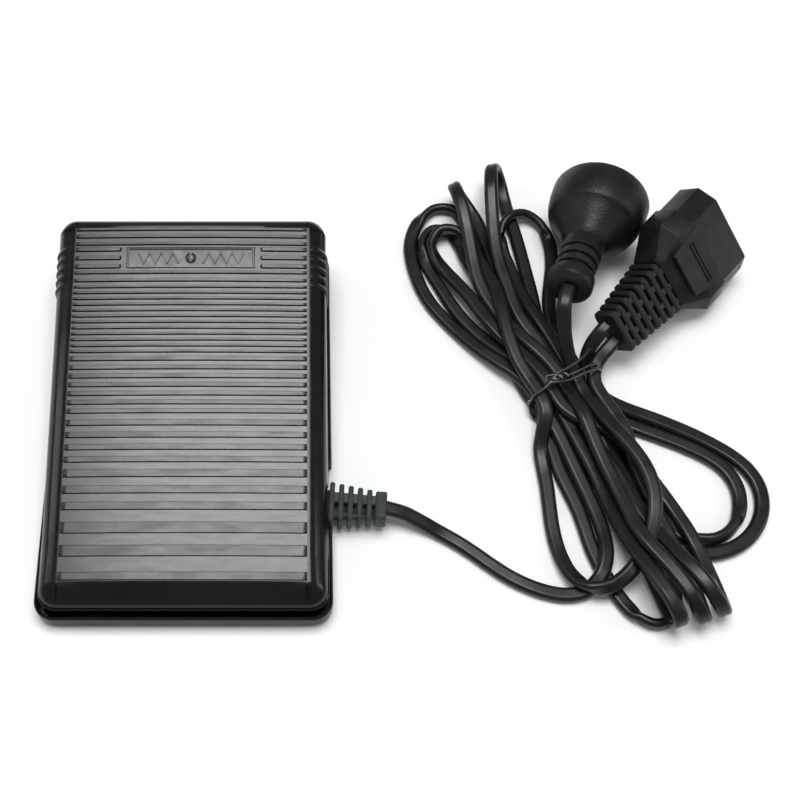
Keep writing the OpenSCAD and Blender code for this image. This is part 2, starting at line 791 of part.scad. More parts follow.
module connector_sockets() {
    color("#caa24a") at_connector() for (i = [-1, 0, 1])
        translate([mouth_at - socket_depth, i * socket_pitch, 0]) rotate([0, 90, 0]) difference() {
            cylinder(r = socket_r + sleeve_t, h = socket_depth);
            translate([0, 0, -1]) cylinder(r = socket_r, h = socket_depth + 2);
        }
}

// Ribbed boot behind the connector: cross ribs on a tapering core
module connector_boot() {
    ribs = 8;
    pitch = boot_l / ribs;
    color("#1c1d1f") at_connector() for (i = [0 : ribs - 1]) {
        f = i / (ribs - 1);
        w = boot_w0 + (boot_w1 - boot_w0) * f;
        h = boot_h0 + (boot_h1 - boot_h0) * f;
        translate([i * pitch, 0, 0]) rotate([90, 0, 90]) {
            linear_extrude(pitch - 1.4) flat_bar(w, h, 1.5);
            linear_extrude(pitch) flat_bar(w - 4, h - 2, 1.5);
        }
    }
}

base_tray();
rubber_feet();
hinge_pin();
treadle_cover();
name_plate();
plate_screw();
return_springs();
stop_buffers();
insulating_sheet();
circuit_board();
board_screws();
control_housing();
resistor_track();
plunger();
wiper_contact();
triac();
heat_sink();
capacitor();
choke_core();
choke_winding();
fixed_resistors();
trim_resistor();
terminal_block();
terminal_screws();
cord_clamp();
clamp_screws();
core_wires();
strain_relief();
pedal_lead();
mains_lead();
lead_bundle();
twist_tie();
mains_plug();
plug_blades();
connector_body();
connector_boot();
connector_sockets();
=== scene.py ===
"""Looks of a sewing machine's foot pedal with its leads, plug and connector.

Metres, in the frame of the CAD part: X across the pedal, Y towards its high toe end, Z up.
"""
import json
import math

import bmesh
import bpy
import numpy as np
from mathutils import Matrix, Vector


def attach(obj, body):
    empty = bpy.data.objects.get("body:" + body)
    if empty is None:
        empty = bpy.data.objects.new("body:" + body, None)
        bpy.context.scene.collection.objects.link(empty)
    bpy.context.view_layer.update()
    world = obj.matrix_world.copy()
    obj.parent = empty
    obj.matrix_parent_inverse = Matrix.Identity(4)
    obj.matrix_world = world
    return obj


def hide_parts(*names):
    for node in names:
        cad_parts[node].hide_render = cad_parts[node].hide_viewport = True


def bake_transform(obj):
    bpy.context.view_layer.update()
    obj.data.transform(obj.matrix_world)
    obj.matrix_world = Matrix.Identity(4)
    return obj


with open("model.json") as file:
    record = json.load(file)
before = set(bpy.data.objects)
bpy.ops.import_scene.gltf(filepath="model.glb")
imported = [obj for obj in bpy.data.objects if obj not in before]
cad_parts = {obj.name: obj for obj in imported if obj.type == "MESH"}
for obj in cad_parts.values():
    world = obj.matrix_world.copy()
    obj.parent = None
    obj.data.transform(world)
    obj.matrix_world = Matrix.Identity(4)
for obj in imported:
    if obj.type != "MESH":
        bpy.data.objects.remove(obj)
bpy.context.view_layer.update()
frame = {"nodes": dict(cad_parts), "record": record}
MM = 0.001


# ---------------------------------------------------------------- camera
CAMERA_AT = Vector((0.0443, -0.2135, 0.4614))
CAMERA_LOOKS_AT = Vector((0.0443, 0.0150, 0.0))
CAMERA_LENS_MM = 55.24
CAMERA_SENSOR_MM = 36.0
CAMERA_SHIFT_X = 0.125


def make_camera():
    data = bpy.data.cameras.new("camera")
    data.lens = CAMERA_LENS_MM
    data.sensor_width = CAMERA_SENSOR_MM
    data.shift_x = CAMERA_SHIFT_X
    data.clip_start = 0.01
    camera = bpy.data.objects.new("camera", data)
    camera.location = CAMERA_AT
    camera.rotation_euler = (CAMERA_LOOKS_AT - CAMERA_AT).to_track_quat("-Z", "Y").to_euler()
    bpy.context.collection.objects.link(camera)
    bpy.context.scene.camera = camera


# ---------------------------------------------------------------- mesh helpers
def smooth_by_angle(obj, degrees=32):
    """Smooth shading, with a sharp edge wherever two faces meet at more than the given angle."""
    obj.data.shade_smooth()
    obj.data.set_sharp_from_angle(angle=math.radians(degrees))


def add_piece(name, verts, faces, material, body, slot, replaces=(), angle=32):
    """One mesh object in the part's frame, riding on a body and standing for the CAD nodes it replaces."""
    mesh = bpy.data.meshes.new(name)
    mesh.from_pydata([tuple(v) for v in verts], [], faces)
    tidy = bmesh.new()
    tidy.from_mesh(mesh)
    bmesh.ops.recalc_face_normals(tidy, faces=tidy.faces)
    tidy.to_mesh(mesh)
    tidy.free()
    return add_mesh(name, mesh, material, body, slot, replaces, angle)


def add_mesh(name, mesh, material, body, slot, replaces=(), angle=32):
    obj = bpy.data.objects.new(name, mesh)
    bpy.context.collection.objects.link(obj)
    mesh.materials.append(material)
    smooth_by_angle(obj, angle)
    if body:
        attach(obj, body)
    if replaces:
        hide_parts(*replaces)
    return obj


def bevelled(obj, width, segments=3, angle=30):
    """Rounds every edge sharper than the angle."""
    bevel = obj.modifiers.new("round_edges", "BEVEL")
    bevel.width = width
    bevel.segments = segments
    bevel.limit_method = "ANGLE"
    bevel.angle_limit = math.radians(angle)
    bevel.harden_normals = True
    bevel.use_clamp_overlap = True
    return obj


def applied(obj):
    """Bakes the modifiers of a piece of our own into its mesh."""
    shown = obj.evaluated_get(bpy.context.evaluated_depsgraph_get())
    baked = bpy.data.meshes.new_from_object(shown)
    obj.modifiers.clear()
    obj.data = baked
    return obj


def cut(obj, verts, faces):
    """Cuts a closed shape out of a piece."""
    mesh = bpy.data.meshes.new("cutter")
    mesh.from_pydata([tuple(v) for v in verts], [], faces)
    tidy = bmesh.new()
    tidy.from_mesh(mesh)
    bmesh.ops.recalc_face_normals(tidy, faces=tidy.faces)
    tidy.to_mesh(mesh)
    tidy.free()
    tool = bpy.data.objects.new("cutter", mesh)
    bpy.context.collection.objects.link(tool)
    boolean = obj.modifiers.new("cut", "BOOLEAN")
    boolean.operation = "DIFFERENCE"
    boolean.solver = "EXACT"
    boolean.object = tool
    applied(obj)
    bpy.data.objects.remove(tool)
    return obj


def box_shape(low, high, matrix=None):
    """Corners and faces of a box."""
    corners = [Vector((x, y, z)) for z in (low[2], high[2])
               for y in (low[1], high[1]) for x in (low[0], high[0])]
    if matrix is not None:
        corners = [matrix @ c for c in corners]
    faces = [(0, 1, 3, 2), (4, 6, 7, 5), (0, 4, 5, 1), (1, 5, 7, 3), (3, 7, 6, 2), (2, 6, 4, 0)]
    return corners, faces


def joined(shapes):
    """Several (verts, faces) shapes as one."""
    verts, faces = [], []
    for v, f in shapes:
        base = len(verts)
        verts.extend(v)
        faces.extend(tuple(i + base for i in face) for face in f)
    return verts, faces


def lofted(rings, cap_first=True, cap_last=True):
    """Faces between rings that all have the same number of points."""
    count = len(rings[0])
    verts = [p for ring in rings for p in ring]
    faces = []
    for r in range(len(rings) - 1):
        for i in range(count):
            j = (i + 1) % count
            faces.append((r * count + i, r * count + j, (r + 1) * count + j, (r + 1) * count + i))
    if cap_first:
        faces.append(tuple(reversed(range(count))))
    if cap_last:
        faces.append(tuple((len(rings) - 1) * count + i for i in range(count)))
    return verts, faces


def lathed(profile, matrix, around=72):
    """A profile of (along, radius) points turned about the matrix's Z axis."""
    rings = []
    for along, radius in profile:
        ring = []
        for i in range(around):
            a = 2 * math.pi * i / around
            ring.append(matrix @ Vector((radius * math.cos(a), radius * math.sin(a), along)))
        rings.append(ring)
    return lofted(rings)


def rounded_loop(half_x, half_y, radius, per_corner=6):
    """Points of a rectangle with round corners, anticlockwise."""
    points = []
    for k, (sx, sy) in enumerate([(1, 1), (-1, 1), (-1, -1), (1, -1)]):
        for i in range(per_corner + 1):
            a = math.pi / 2 * (k + i / per_corner)
            points.append((sx * (half_x - radius) + radius * math.cos(a),
                           sy * (half_y - radius) + radius * math.sin(a)))
    return points


# ---------------------------------------------------------------- leads
LEAD_W = 6 * MM
LEAD_T = 4 * MM
LEAD_STEP = 4 * MM
TIE_AT = Vector((153.5, 17.5, 7.9)) * MM
TIE_TURN = math.radians(23.5)
SLOT_PITCH = 5.9 * MM
SLOT_HEIGHTS = (3.4 * MM, 7.6 * MM, 11.8 * MM)
SLOT_REACH = 12 * MM
BEND_RADIUS = 11 * MM

# Points that each lead passes, in millimetres. A name says which loop of the bundle it is:
# left, inner, standing and right loops above the tie, and ring, low, tip and wide loops below it.
PEDAL_START = [(77.75, -37.06, 9.5), (82, -37.8, 9), (88, -39.5, 7), (94, -42, 4), (100, -45, 2.5),
               (107, -49, 2), (114, -54, 2), (121, -60, 2), (129, -65, 2), (137, -68, 2), (145, -70, 2),
               (153, -70, 2.5), (160, -66, 5), (164, -58, 6.5), (164, -46, 6.5), (159, -28, 6),
               (151, -6, 6)]
LEFT_LOOP = [(129, 30, 7), (111, 49, 4), (102, 58, 3), (97, 69, 3), (94, 84, 3), (95, 94, 3),
             (98, 103, 3), (104, 109, 3), (111, 111, 3), (118, 107, 3), (121, 98, 3), (123, 85, 3),
             (127, 68, 3), (136, 44, 3)]
LOW_LOOP = [(147, -4, 3), (149, -18, 3), (153, -28, 3), (157, -38, 3), (158, -48, 2), (160, -57, 2),
            (164, -66, 2), (170, -74, 2), (177, -81, 2), (185, -82, 2), (189, -74, 2), (186, -60, 2),
            (179, -44, 2), (170, -24, 2), (158, -3, 2)]
INNER_LOOP_1 = [(134, 32, 4), (122, 41, 5), (114, 52, 4), (108, 64, 3), (102, 78, 3), (97.5, 88, 3),
                (98.5, 95, 3), (103, 99.5, 3), (109, 98, 3.5), (115, 91.5, 4), (121, 80, 5),
                (127, 66, 6), (138, 40, 7)]
TIP_1 = [(158, -4, 8), (166, -32, 9), (172, -52, 14), (177, -64, 18), (181, -73, 20), (185, -81, 18.5),
         (187.5, -85.5, 13), (188, -85, 7), (186.5, -79, 3), (183, -64, 2), (176, -38, 2), (164, -6, 2)]
STANDING_LOOP_1 = [(140, 48, 3), (130, 74, 3), (123, 98, 3), (118.5, 108, 3), (115.5, 115, 6),
                   (113.5, 117.5, 11.5), (113, 114, 17), (114.5, 106, 19), (117, 95, 18), (118, 85, 14),
                   (123, 71, 12), (128, 55, 12), (135, 41, 12), (143, 27, 12)]
TIP_2 = [(161, -4, 13), (169, -28, 14), (176, -48, 16), (183, -60, 18), (188, -69, 20),
         (193, -77.5, 18.5), (196.5, -82.5, 13), (198, -81.5, 7), (198, -75, 3), (194, -58, 3),
         (185, -34, 6), (174, -4, 11)]
PEDAL_END = [(166.5, 27, 9), (169.5, 30, 13), (173, 32.2, 15.5), (177.5, 37, 16)]
MAINS_START = [(173.2, 41.3, 21.5), (169, 37.3, 20.5), (166.3, 33.5, 16.5), (165.3, 28.5, 11.5)]
WIDE_LOOP_1 = [(171, 13, 8), (179, 9, 6), (189, 5, 6), (200, 0, 5), (210, -6, 4), (219, -11, 3),
               (227, -18, 3), (230, -27, 3), (228, -38, 3), (222, -47, 3), (213, -52, 3), (204, -54, 3),
               (194, -52, 3), (184, -42, 3), (174, -20, 5)]
RIGHT_LOOP = [(150, 42, 7), (143, 62, 5), (136, 80, 4), (133, 92, 4), (136, 102, 4), (143, 107, 4),
              (150, 104, 4), (154, 95, 4), (156, 83, 4), (154, 72, 4), (152, 58, 4), (155, 40, 4)]
WIDE_LOOP_2 = [(173, 6, 3), (182, 2, 3), (193, -3, 3), (203, -7, 3), (212, -12, 3), (219, -20, 3),
               (221, -29, 3), (218, -39, 3), (211, -47, 3), (203, -49, 3), (194, -47, 3), (185, -38, 3),
               (176, -18, 3)]
STANDING_LOOP_2 = [(147, 48, 3), (143, 64, 3), (143, 77, 3), (142, 89, 3), (139, 99, 3),
                   (137.5, 110, 3.5), (135.5, 120, 6), (133, 126, 11.5), (130.5, 124.5, 17.5),
                   (129, 117, 21), (128.5, 106, 19.5), (129, 93, 15), (130, 78, 13), (132, 63, 12),
                   (137, 49, 11), (146, 34, 9)]
TIP_3 = [(164, -4, 8), (174, -28, 10), (182, -48, 13), (190, -60, 18), (196, -68, 19.5), (201, -75, 18),
         (204.5, -79.5, 13), (206, -78.5, 7), (206, -72, 3), (201, -55, 3), (188, -30, 6), (168, 0, 11)]
INNER_LOOP_2 = [(134, 36, 11), (124, 52, 11), (114, 66, 9), (104.5, 80, 8), (102.5, 89, 8),
                (105, 96, 8), (110.5, 97.5, 8), (116, 91.5, 8), (121, 80, 9), (127, 62, 12)]
RING_LOOP = [(145, 2, 9), (144, -7, 5), (144, -20, 3.5), (144, -34, 3.5), (145, -48, 4), (149, -61, 6),
             (155, -69, 8), (162, -70, 9), (169, -65, 11), (176, -56, 14), (180, -47, 17),
             (182, -38, 19), (182, -28, 19), (179, -19, 19), (173, -10, 18), (167, 2, 16)]
PLUG_END = [(156, 27, 14), (154.5, 30, 18), (153, 35, 24), (152.3, 40, 28.5), (152.5, 46.6, 30.8),
            (154.8, 52.1, 30.3)]


def metres(points):
    return [Vector(p) * MM for p in points]


def through_tie(column, layer, upwards):
    """Points of one pass through the tie, in the order that the lead runs."""
    across = Vector((math.cos(TIE_TURN), math.sin(TIE_TURN), 0))
    along = Vector((-math.sin(TIE_TURN), math.cos(TIE_TURN), 0))
    middle = TIE_AT + across * column * SLOT_PITCH
    middle.z = SLOT_HEIGHTS[layer]
    reach = along * (SLOT_REACH if upwards else -SLOT_REACH)
    return [middle - reach, middle, middle + reach]


def pedal_lead_points():
    """From the strain relief through the bundle to the connector."""
    return (metres(PEDAL_START) + through_tie(-2, 1, True) + metres(LEFT_LOOP) + through_tie(-2, 0, False)
            + metres(LOW_LOOP) + through_tie(-1, 0, True) + metres(INNER_LOOP_1) + through_tie(-1, 1, False)
            + metres(TIP_1) + through_tie(0, 0, True) + metres(STANDING_LOOP_1) + through_tie(0, 2, False)
            + metres(TIP_2) + through_tie(2, 2, True)[:2] + metres(PEDAL_END))


def mains_lead_points():
    """From the connector through the bundle to the plug."""
    return (metres(MAINS_START) + through_tie(2, 1, False)[1:]
            + metres(WIDE_LOOP_1) + through_tie(1, 1, True)
            + metres(RIGHT_LOOP) + through_tie(2, 0, False)
            + metres(WIDE_LOOP_2) + through_tie(1, 0, True)
            + metres(STANDING_LOOP_2) + through_tie(0, 1, False) + metres(TIP_3) + through_tie(-1, 2, True)
            + metres(INNER_LOOP_2) + through_tie(-2, 2, False) + metres(RING_LOOP)
            + through_tie(1, 2, True)[:2] + metres(PLUG_END))


def spline(points, step, per_span=12):
    """A smooth curve through the points, as an array with a point every `step`."""
    p = np.array([tuple(q) for q in points])
    p = np.vstack([2 * p[0] - p[1], p, 2 * p[-1] - p[-2]])
    t = np.linspace(0, 1, per_span, endpoint=False)[:, None]
    spans = [0.5 * (2 * b + (c - a) * t + (2 * a - 5 * b + 4 * c - d) * t ** 2
                    + (3 * b - a - 3 * c + d) * t ** 3)
             for a, b, c, d in zip(p[:-3], p[1:-2], p[2:-1], p[3:])]
    return respaced(np.vstack(spans + [p[-2][None]]), step)


def respaced(line, step):
    run = np.concatenate([[0], np.cumsum(np.linalg.norm(np.diff(line, axis=0), axis=1))])
    at = np.linspace(0, run[-1], max(2, round(run[-1] / step) + 1))
    return np.stack([np.interp(at, run, line[:, k]) for k in range(3)], axis=1)


def directions(line):
    d = np.gradient(line, axis=0)
    return d / np.linalg.norm(d, axis=1)[:, None]


def averaged(values, width):
    """Values along a line, each averaged with its neighbours."""
    kernel = np.hanning(2 * width + 1)
    kernel /= kernel.sum()
    padded = np.pad(values, ((width, width),) + ((0, 0),) * (values.ndim - 1), mode="edge")
    if values.ndim == 1:
        return np.convolve(padded, kernel, "valid")
    return np.stack([np.convolve(padded[:, k], kernel, "valid") for k in range(values.shape[1])], axis=1)


def wide_axes(line):
    """Direction of the flat lead's wide side: it lies flat, but stands on edge where it turns sideways."""
    along = directions(line)
    bend = averaged(np.gradient(along, axis=0), 5) / LEAD_STEP
    axis = np.cross(along, bend)
    side = np.cross((0, 0, 1.0), along)
    first = np.zeros_like(along)
    first[0] = side[0] / np.linalg.norm(side[0])
    for i in range(1, len(along)):
        v = first[i - 1] - along[i] * (first[i - 1] @ along[i])
        first[i] = v / np.linalg.norm(v)
    second = np.cross(along, first)
    strength = np.linalg.norm(axis, axis=1)
    unit = axis / np.maximum(strength, 1e-9)[:, None]

    def doubled(v):
        return ((v * first).sum(1) + 1j * (v * second).sum(1)) ** 2

    sharp, sharpest = 32, 75
    weight = 2 * np.clip((strength - sharp) / (sharpest - sharp), 0, 1)
    turn = averaged(doubled(unit) * weight + doubled(side) * 0.8, 8)
    angle = np.unwrap(np.angle(turn)) / 2
    return first * np.cos(angle)[:, None] + second * np.sin(angle)[:, None]


def settled(lines, pinned_ends, rounds=400):
    """Lets the leads' strands push each other apart, with their length and smooth run kept."""
    edges = np.cumsum([0] + [len(line) for line in lines])
    spans = list(zip(edges[:-1], edges[1:]))
    p = np.vstack(lines)
    home = p.copy()
    free = np.ones(len(p))
    for (a, b), (first, last) in zip(spans, pinned_ends):
        free[a:a + first] = 0
        free[b - last:b] = 0
    index = np.arange(len(p))
    owner = np.repeat(np.arange(len(lines)), np.diff(edges))
    beside = (owner[:, None] == owner) & (abs(index[:, None] - index) < 7)
    pairs = (index[:, None] < index) & ~beside
    most_sag = LEAD_STEP ** 2 / 2 / BEND_RADIUS
    for turn in range(rounds):
        if turn % 25 == 0:
            edge_up = abs(np.vstack([wide_axes(p[a:b]) for a, b in spans])[:, 2])
            half_w = LEAD_W / 2 - (LEAD_W - LEAD_T) / 2 * edge_up
            half_h = LEAD_T / 2 + (LEAD_W - LEAD_T) / 2 * edge_up
            far = np.max(abs(p[:, None] - p), axis=2)
            i, j = np.nonzero(pairs & (far < 2 * LEAD_W))
        for a, b in spans:
            lap = np.zeros((b - a, 3))
            lap[1:-1] = (p[a:b - 2] + p[a + 2:b]) / 2 - p[a + 1:b - 1]
            lap[2:-2] -= (lap[1:-3] + lap[3:-1]) / 2
            lap[[0, 1, -2, -1]] = 0
            p[a:b] += 0.22 * lap * free[a:b, None]
            sag = (p[a:b - 2] + p[a + 2:b]) / 2 - p[a + 1:b - 1]
            size = np.maximum(np.linalg.norm(sag, axis=1), 1e-9)
            tight = np.maximum(0, 1 - most_sag / size)[:, None] * sag
            p[a + 1:b - 1] += 0.4 * tight * free[a + 1:b - 1, None]
            p[a:b - 2] -= 0.2 * tight * free[a:b - 2, None]
            p[a + 2:b] -= 0.2 * tight * free[a + 2:b, None]
        p += 0.01 * (home - p) * free[:, None]
        p[:, 2] -= 0.02 * MM * free
        apart = p[j] - p[i]
        level = (half_w[i] + half_w[j])[:, None]
        upright = (half_h[i] + half_h[j])[:, None]
        near = np.sqrt((apart[:, :2] ** 2).sum(1) / level[:, 0] ** 2
                       + apart[:, 2] ** 2 / upright[:, 0] ** 2)
        hit = near < 1
        push = 0.35 * apart[hit] * (1 / np.maximum(near[hit], 1e-3) - 1)[:, None]
        moved = np.zeros_like(p)
        count = np.ones(len(p))
        for at, sign in ((i[hit], -1), (j[hit], 1)):
            np.add.at(moved, at, sign * push)
            np.add.at(count, at, 1)
        p += 1.3 * moved / np.maximum(count - 1, 1)[:, None] * free[:, None]
        for a, b in spans:
            for odd in (0, 1):
                s = np.arange(a + odd, b - 1, 2)
                v = p[s + 1] - p[s]
                long = np.linalg.norm(v, axis=1)
                share = np.maximum(free[s] + free[s + 1], 1e-9)
                fix = 0.5 * ((long - LEAD_STEP) / long)[:, None] * v
                p[s] += fix * (free[s] / share)[:, None]
                p[s + 1] -= fix * (free[s + 1] / share)[:, None]
        p[:, 2] = np.where(free > 0, np.maximum(p[:, 2], half_h + 0.15 * MM), p[:, 2])
    return [p[a:b] for a, b in spans]


def twin_section(points=28):
    """Outline of the flat twin lead, (wide, thin), with a shallow groove along the middle of each face."""
    outline = []
    half_gap = (LEAD_W - LEAD_T) / 2
    groove = 0.28 * MM
    for i in range(points):
        a = 2 * math.pi * i / points
        x = LEAD_T / 2 * math.cos(a)
        y = LEAD_T / 2 * math.sin(a)
        x += half_gap * math.tanh(4 * math.cos(a))
        dip = math.exp(-(x / (0.8 * MM)) ** 2) * groove
        outline.append((x, y - math.copysign(dip, y)))
    return outline


def lead_mesh(line):
    """Rings of the twin section along the line."""
    soft = averaged(line, 2)
    soft[:2], soft[-2:] = line[:2], line[-2:]
    fine = spline(respaced(soft, 2 * LEAD_STEP), 2 * MM, 8)
    along = directions(fine)
    coarse_axes = wide_axes(respaced(fine, LEAD_STEP))
    at = np.linspace(0, len(coarse_axes) - 1, len(fine))
    known = np.arange(len(coarse_axes))
    wide = np.stack([np.interp(at, known, coarse_axes[:, k]) for k in range(3)], axis=1)
    wide -= along * (wide * along).sum(1)[:, None]
    wide /= np.linalg.norm(wide, axis=1)[:, None]
    thin = np.cross(along, wide)
    section = twin_section()
    rings = [[Vector(p + w * x + n * y) for x, y in section] for p, w, n in zip(fine, wide, thin)]
    verts, faces = lofted(rings)
    return verts, faces, fine


def make_leads(material):
    lines = [spline(points, LEAD_STEP) for points in (pedal_lead_points(), mains_lead_points())]
    pedal, mains = settled(lines, [(6, 3), (3, 3)])
    made = []
    for name, line, node in (("pedal_cord", pedal, "pedal_lead"), ("mains_cord", mains, "mains_lead")):
        verts, faces, path = lead_mesh(line)
        obj = add_piece(name, verts, faces, material, "base", "lead_sheath", (node, "lead_bundle"), 60)
        made.append((obj, path))
    return made


# ---------------------------------------------------------------- materials
class Surface:
    """A node material made of noise for colour, gloss and relief."""

    def __init__(self, name, roughness=0.4, metallic=0.0, coat=0.0, specular=0.5):
        self.material = bpy.data.materials.new(name)
        self.material.use_nodes = True
        self.tree = self.material.node_tree
        self.shader = self.tree.nodes["Principled BSDF"]
        self.shader.inputs["Metallic"].default_value = metallic
        self.shader.inputs["Roughness"].default_value = roughness
        self.shader.inputs["Specular IOR Level"].default_value = specular
        self.shader.inputs["Coat Weight"].default_value = coat
        self.place = self.tree.nodes.new("ShaderNodeTexCoord").outputs["Object"]
        self.height = None

    def link(self, output, target):
        self.tree.links.new(output, target)

    def stretched(self, scale):
        """The object's own place, stretched along its axes."""
        mapping = self.tree.nodes.new("ShaderNodeMapping")
        mapping.inputs["Scale"].default_value = scale
        self.link(self.place, mapping.inputs["Vector"])
        return mapping.outputs["Vector"]

    def noise(self, size, detail=3.0, stretch=None):
        """Noise with features about `size` metres across."""
        node = self.tree.nodes.new("ShaderNodeTexNoise")
        node.inputs["Scale"].default_value = 1 / size
        node.inputs["Detail"].default_value = detail
        self.link(self.stretched(stretch) if stretch else self.place, node.inputs["Vector"])
        return node.outputs["Fac"]

    def cells(self, size):
        node = self.tree.nodes.new("ShaderNodeTexVoronoi")
        node.inputs["Scale"].default_value = 1 / size
        self.link(self.place, node.inputs["Vector"])
        return node.outputs["Distance"]

    def waves(self, size, axis, distortion=0.0):
        node = self.tree.nodes.new("ShaderNodeTexWave")
        node.bands_direction = axis
        node.inputs["Scale"].default_value = 1 / size
        node.inputs["Distortion"].default_value = distortion
        self.link(self.place, node.inputs["Vector"])
        return node.outputs["Fac"]

    def ramp(self, value, low, high, at=(0.35, 0.65)):
        """Colours or greys between two levels of a value."""
        node = self.tree.nodes.new("ShaderNodeValToRGB")
        node.color_ramp.elements[0].position = at[0]
        node.color_ramp.elements[1].position = at[1]
        node.color_ramp.elements[0].color = (*low, 1)
        node.color_ramp.elements[1].color = (*high, 1)
        self.link(value, node.inputs["Fac"])
        return node.outputs["Color"]

    def colour(self, value, low, high, at=(0.35, 0.65)):
        self.link(self.ramp(value, low, high, at), self.shader.inputs["Base Color"])
        return self

    def worn_edges(self, value, low, high, edge, at=(0.53, 0.60)):
        """Colour from a value, going over to another one along sharp convex edges."""
        pointed = self.tree.nodes.new("ShaderNodeNewGeometry").outputs["Pointiness"]
        mix = self.tree.nodes.new("ShaderNodeMix")
        mix.data_type = "RGBA"
        self.link(self.ramp(pointed, (0, 0, 0), (1, 1, 1), at), mix.inputs["Factor"])
        self.link(self.ramp(value, low, high), mix.inputs["A"])
        mix.inputs["B"].default_value = (*edge, 1)
        self.link(mix.outputs["Result"], self.shader.inputs["Base Color"])
        return self

    def gloss(self, value, low, high, at=(0.3, 0.7)):
        node = self.tree.nodes.new("ShaderNodeMapRange")
        node.inputs["From Min"].default_value = at[0]
        node.inputs["From Max"].default_value = at[1]
        node.inputs["To Min"].default_value = low
        node.inputs["To Max"].default_value = high
        self.link(value, node.inputs["Value"])
        self.link(node.outputs["Result"], self.shader.inputs["Roughness"])
        return self

    def relief(self, value, depth, strength=1.0):
        """Adds a bump of the given depth in metres."""
        bump = self.tree.nodes.new("ShaderNodeBump")
        bump.inputs["Distance"].default_value = depth
        bump.inputs["Strength"].default_value = strength
        self.link(value, bump.inputs["Height"])
        if self.height is not None:
            self.link(self.height, bump.inputs["Normal"])
        self.height = bump.outputs["Normal"]
        self.link(self.height, self.shader.inputs["Normal"])
        return self


def gloss_black():
    """Polished moulded plastic of the cover's sides and the tray, with faint haze and hairline wear."""
    s = Surface("gloss_black", specular=0.30)
    s.worn_edges(s.noise(0.020), (0.004, 0.004, 0.005), (0.007, 0.007, 0.008), (0.016, 0.017, 0.019))
    s.gloss(s.noise(0.012, 5), 0.13, 0.24)
    s.relief(s.noise(0.004, 2), 0.02 * MM, 0.5)
    return s.relief(s.noise(0.0006, 2), 0.004 * MM, 0.5).material


def tray_black():
    """Moulded plastic of the tray, duller than the cover, scuffed where it slides on the floor."""
    s = Surface("tray_black", specular=0.5)
    s.shader.inputs["IOR"].default_value = 1.16
    s.worn_edges(s.noise(0.018), (0.004, 0.004, 0.005), (0.008, 0.008, 0.009), (0.020, 0.020, 0.022))
    s.gloss(s.noise(0.010, 5), 0.16, 0.30)
    s.relief(s.noise(0.004, 2), 0.02 * MM, 0.4)
    return s.relief(s.noise(0.0006, 2), 0.004 * MM, 0.5).material


def tread_strip():
    """Floor of the tread between the bars: satin, with streaks along the bars."""
    s = Surface("tread_strip", specular=0.5)
    s.colour(s.noise(0.030, 4), (0.010, 0.011, 0.013), (0.018, 0.019, 0.022))
    s.gloss(s.noise(0.010, 5, (1.0, 6.0, 1.0)), 0.20, 0.28)
    return s.relief(s.noise(0.0060, 2, (0.3, 1.0, 1.0)), 0.010 * MM, 0.4).material


def tread_bar():
    """Tops of the tread bars, dulled and browned by shoes."""
    s = Surface("tread_bar", specular=0.5)
    s.worn_edges(s.noise(0.022, 5), (0.013, 0.012, 0.010), (0.024, 0.021, 0.018), (0.030, 0.028, 0.026),
                 (0.56, 0.66))
    s.gloss(s.noise(0.012, 4, (1.0, 4.0, 1.0)), 0.24, 0.38)
    s.relief(s.noise(0.0060, 3, (0.2, 1.0, 1.0)), 0.012 * MM, 0.4)
    return s.relief(s.noise(0.0005, 2), 0.006 * MM, 0.6).material


def tread_edge_painted_shade():
    """Steep edges of the tread bars, coloured near-black and dull: painted shade for the dark outlines round
    the bars.
    """
    s = Surface("tread_edge_painted_shade", specular=0.1)
    s.colour(s.noise(0.004, 4), (0.003, 0.003, 0.003), (0.007, 0.007, 0.006))
    s.gloss(s.noise(0.003, 4), 0.6, 0.8)
    return s.relief(s.noise(0.0005, 3), 0.01 * MM, 0.6).material


def plate_black():
    s = Surface("plate_black", specular=0.55)
    s.worn_edges(s.noise(0.008, 4), (0.024, 0.025, 0.027), (0.040, 0.041, 0.043), (0.080, 0.080, 0.082))
    s.gloss(s.noise(0.005, 4), 0.22, 0.38)
    return s.relief(s.noise(0.0007, 3), 0.01 * MM, 0.5).material


def black_steel():
    """Blackened steel, rubbed bright along its edges."""
    s = Surface("black_steel", metallic=0.7)
    s.worn_edges(s.noise(0.002, 4), (0.020, 0.020, 0.021), (0.045, 0.044, 0.043), (0.22, 0.21, 0.20))
    s.gloss(s.noise(0.0015, 4), 0.28, 0.48)
    return s.relief(s.noise(0.0005, 4), 0.01 * MM, 0.6).material


def foot_rubber():
    s = Surface("foot_rubber", specular=0.3)
    s.colour(s.noise(0.003, 4), (0.018, 0.018, 0.019), (0.038, 0.037, 0.036))
    s.gloss(s.noise(0.004, 4), 0.62, 0.85)
    return s.relief(s.noise(0.0004, 4), 0.03 * MM, 0.8).material


def relief_rubber():
    """Soft grey-green black rubber with moulding dust in its corners."""
    s = Surface("relief_rubber", specular=0.25)
    s.worn_edges(s.noise(0.004, 4), (0.012, 0.015, 0.015), (0.022, 0.026, 0.026), (0.045, 0.052, 0.052))
    s.gloss(s.noise(0.003, 4), 0.45, 0.66)
    s.relief(s.noise(0.0015, 3), 0.03 * MM, 0.5)
    return s.relief(s.noise(0.0003, 3), 0.01 * MM, 0.7).material


def lead_sheath():
    """Satin PVC of the leads, with long faint drawing marks and scuffs."""
    s = Surface("lead_sheath", specular=0.30)
    s.worn_edges(s.noise(0.015, 4), (0.005, 0.005, 0.006), (0.010, 0.010, 0.012), (0.015, 0.015, 0.017))
    s.gloss(s.noise(0.009, 5), 0.24, 0.42)
    s.relief(s.noise(0.005, 2), 0.04 * MM, 0.4)
    return s.relief(s.noise(0.0005, 3), 0.006 * MM, 0.6).material


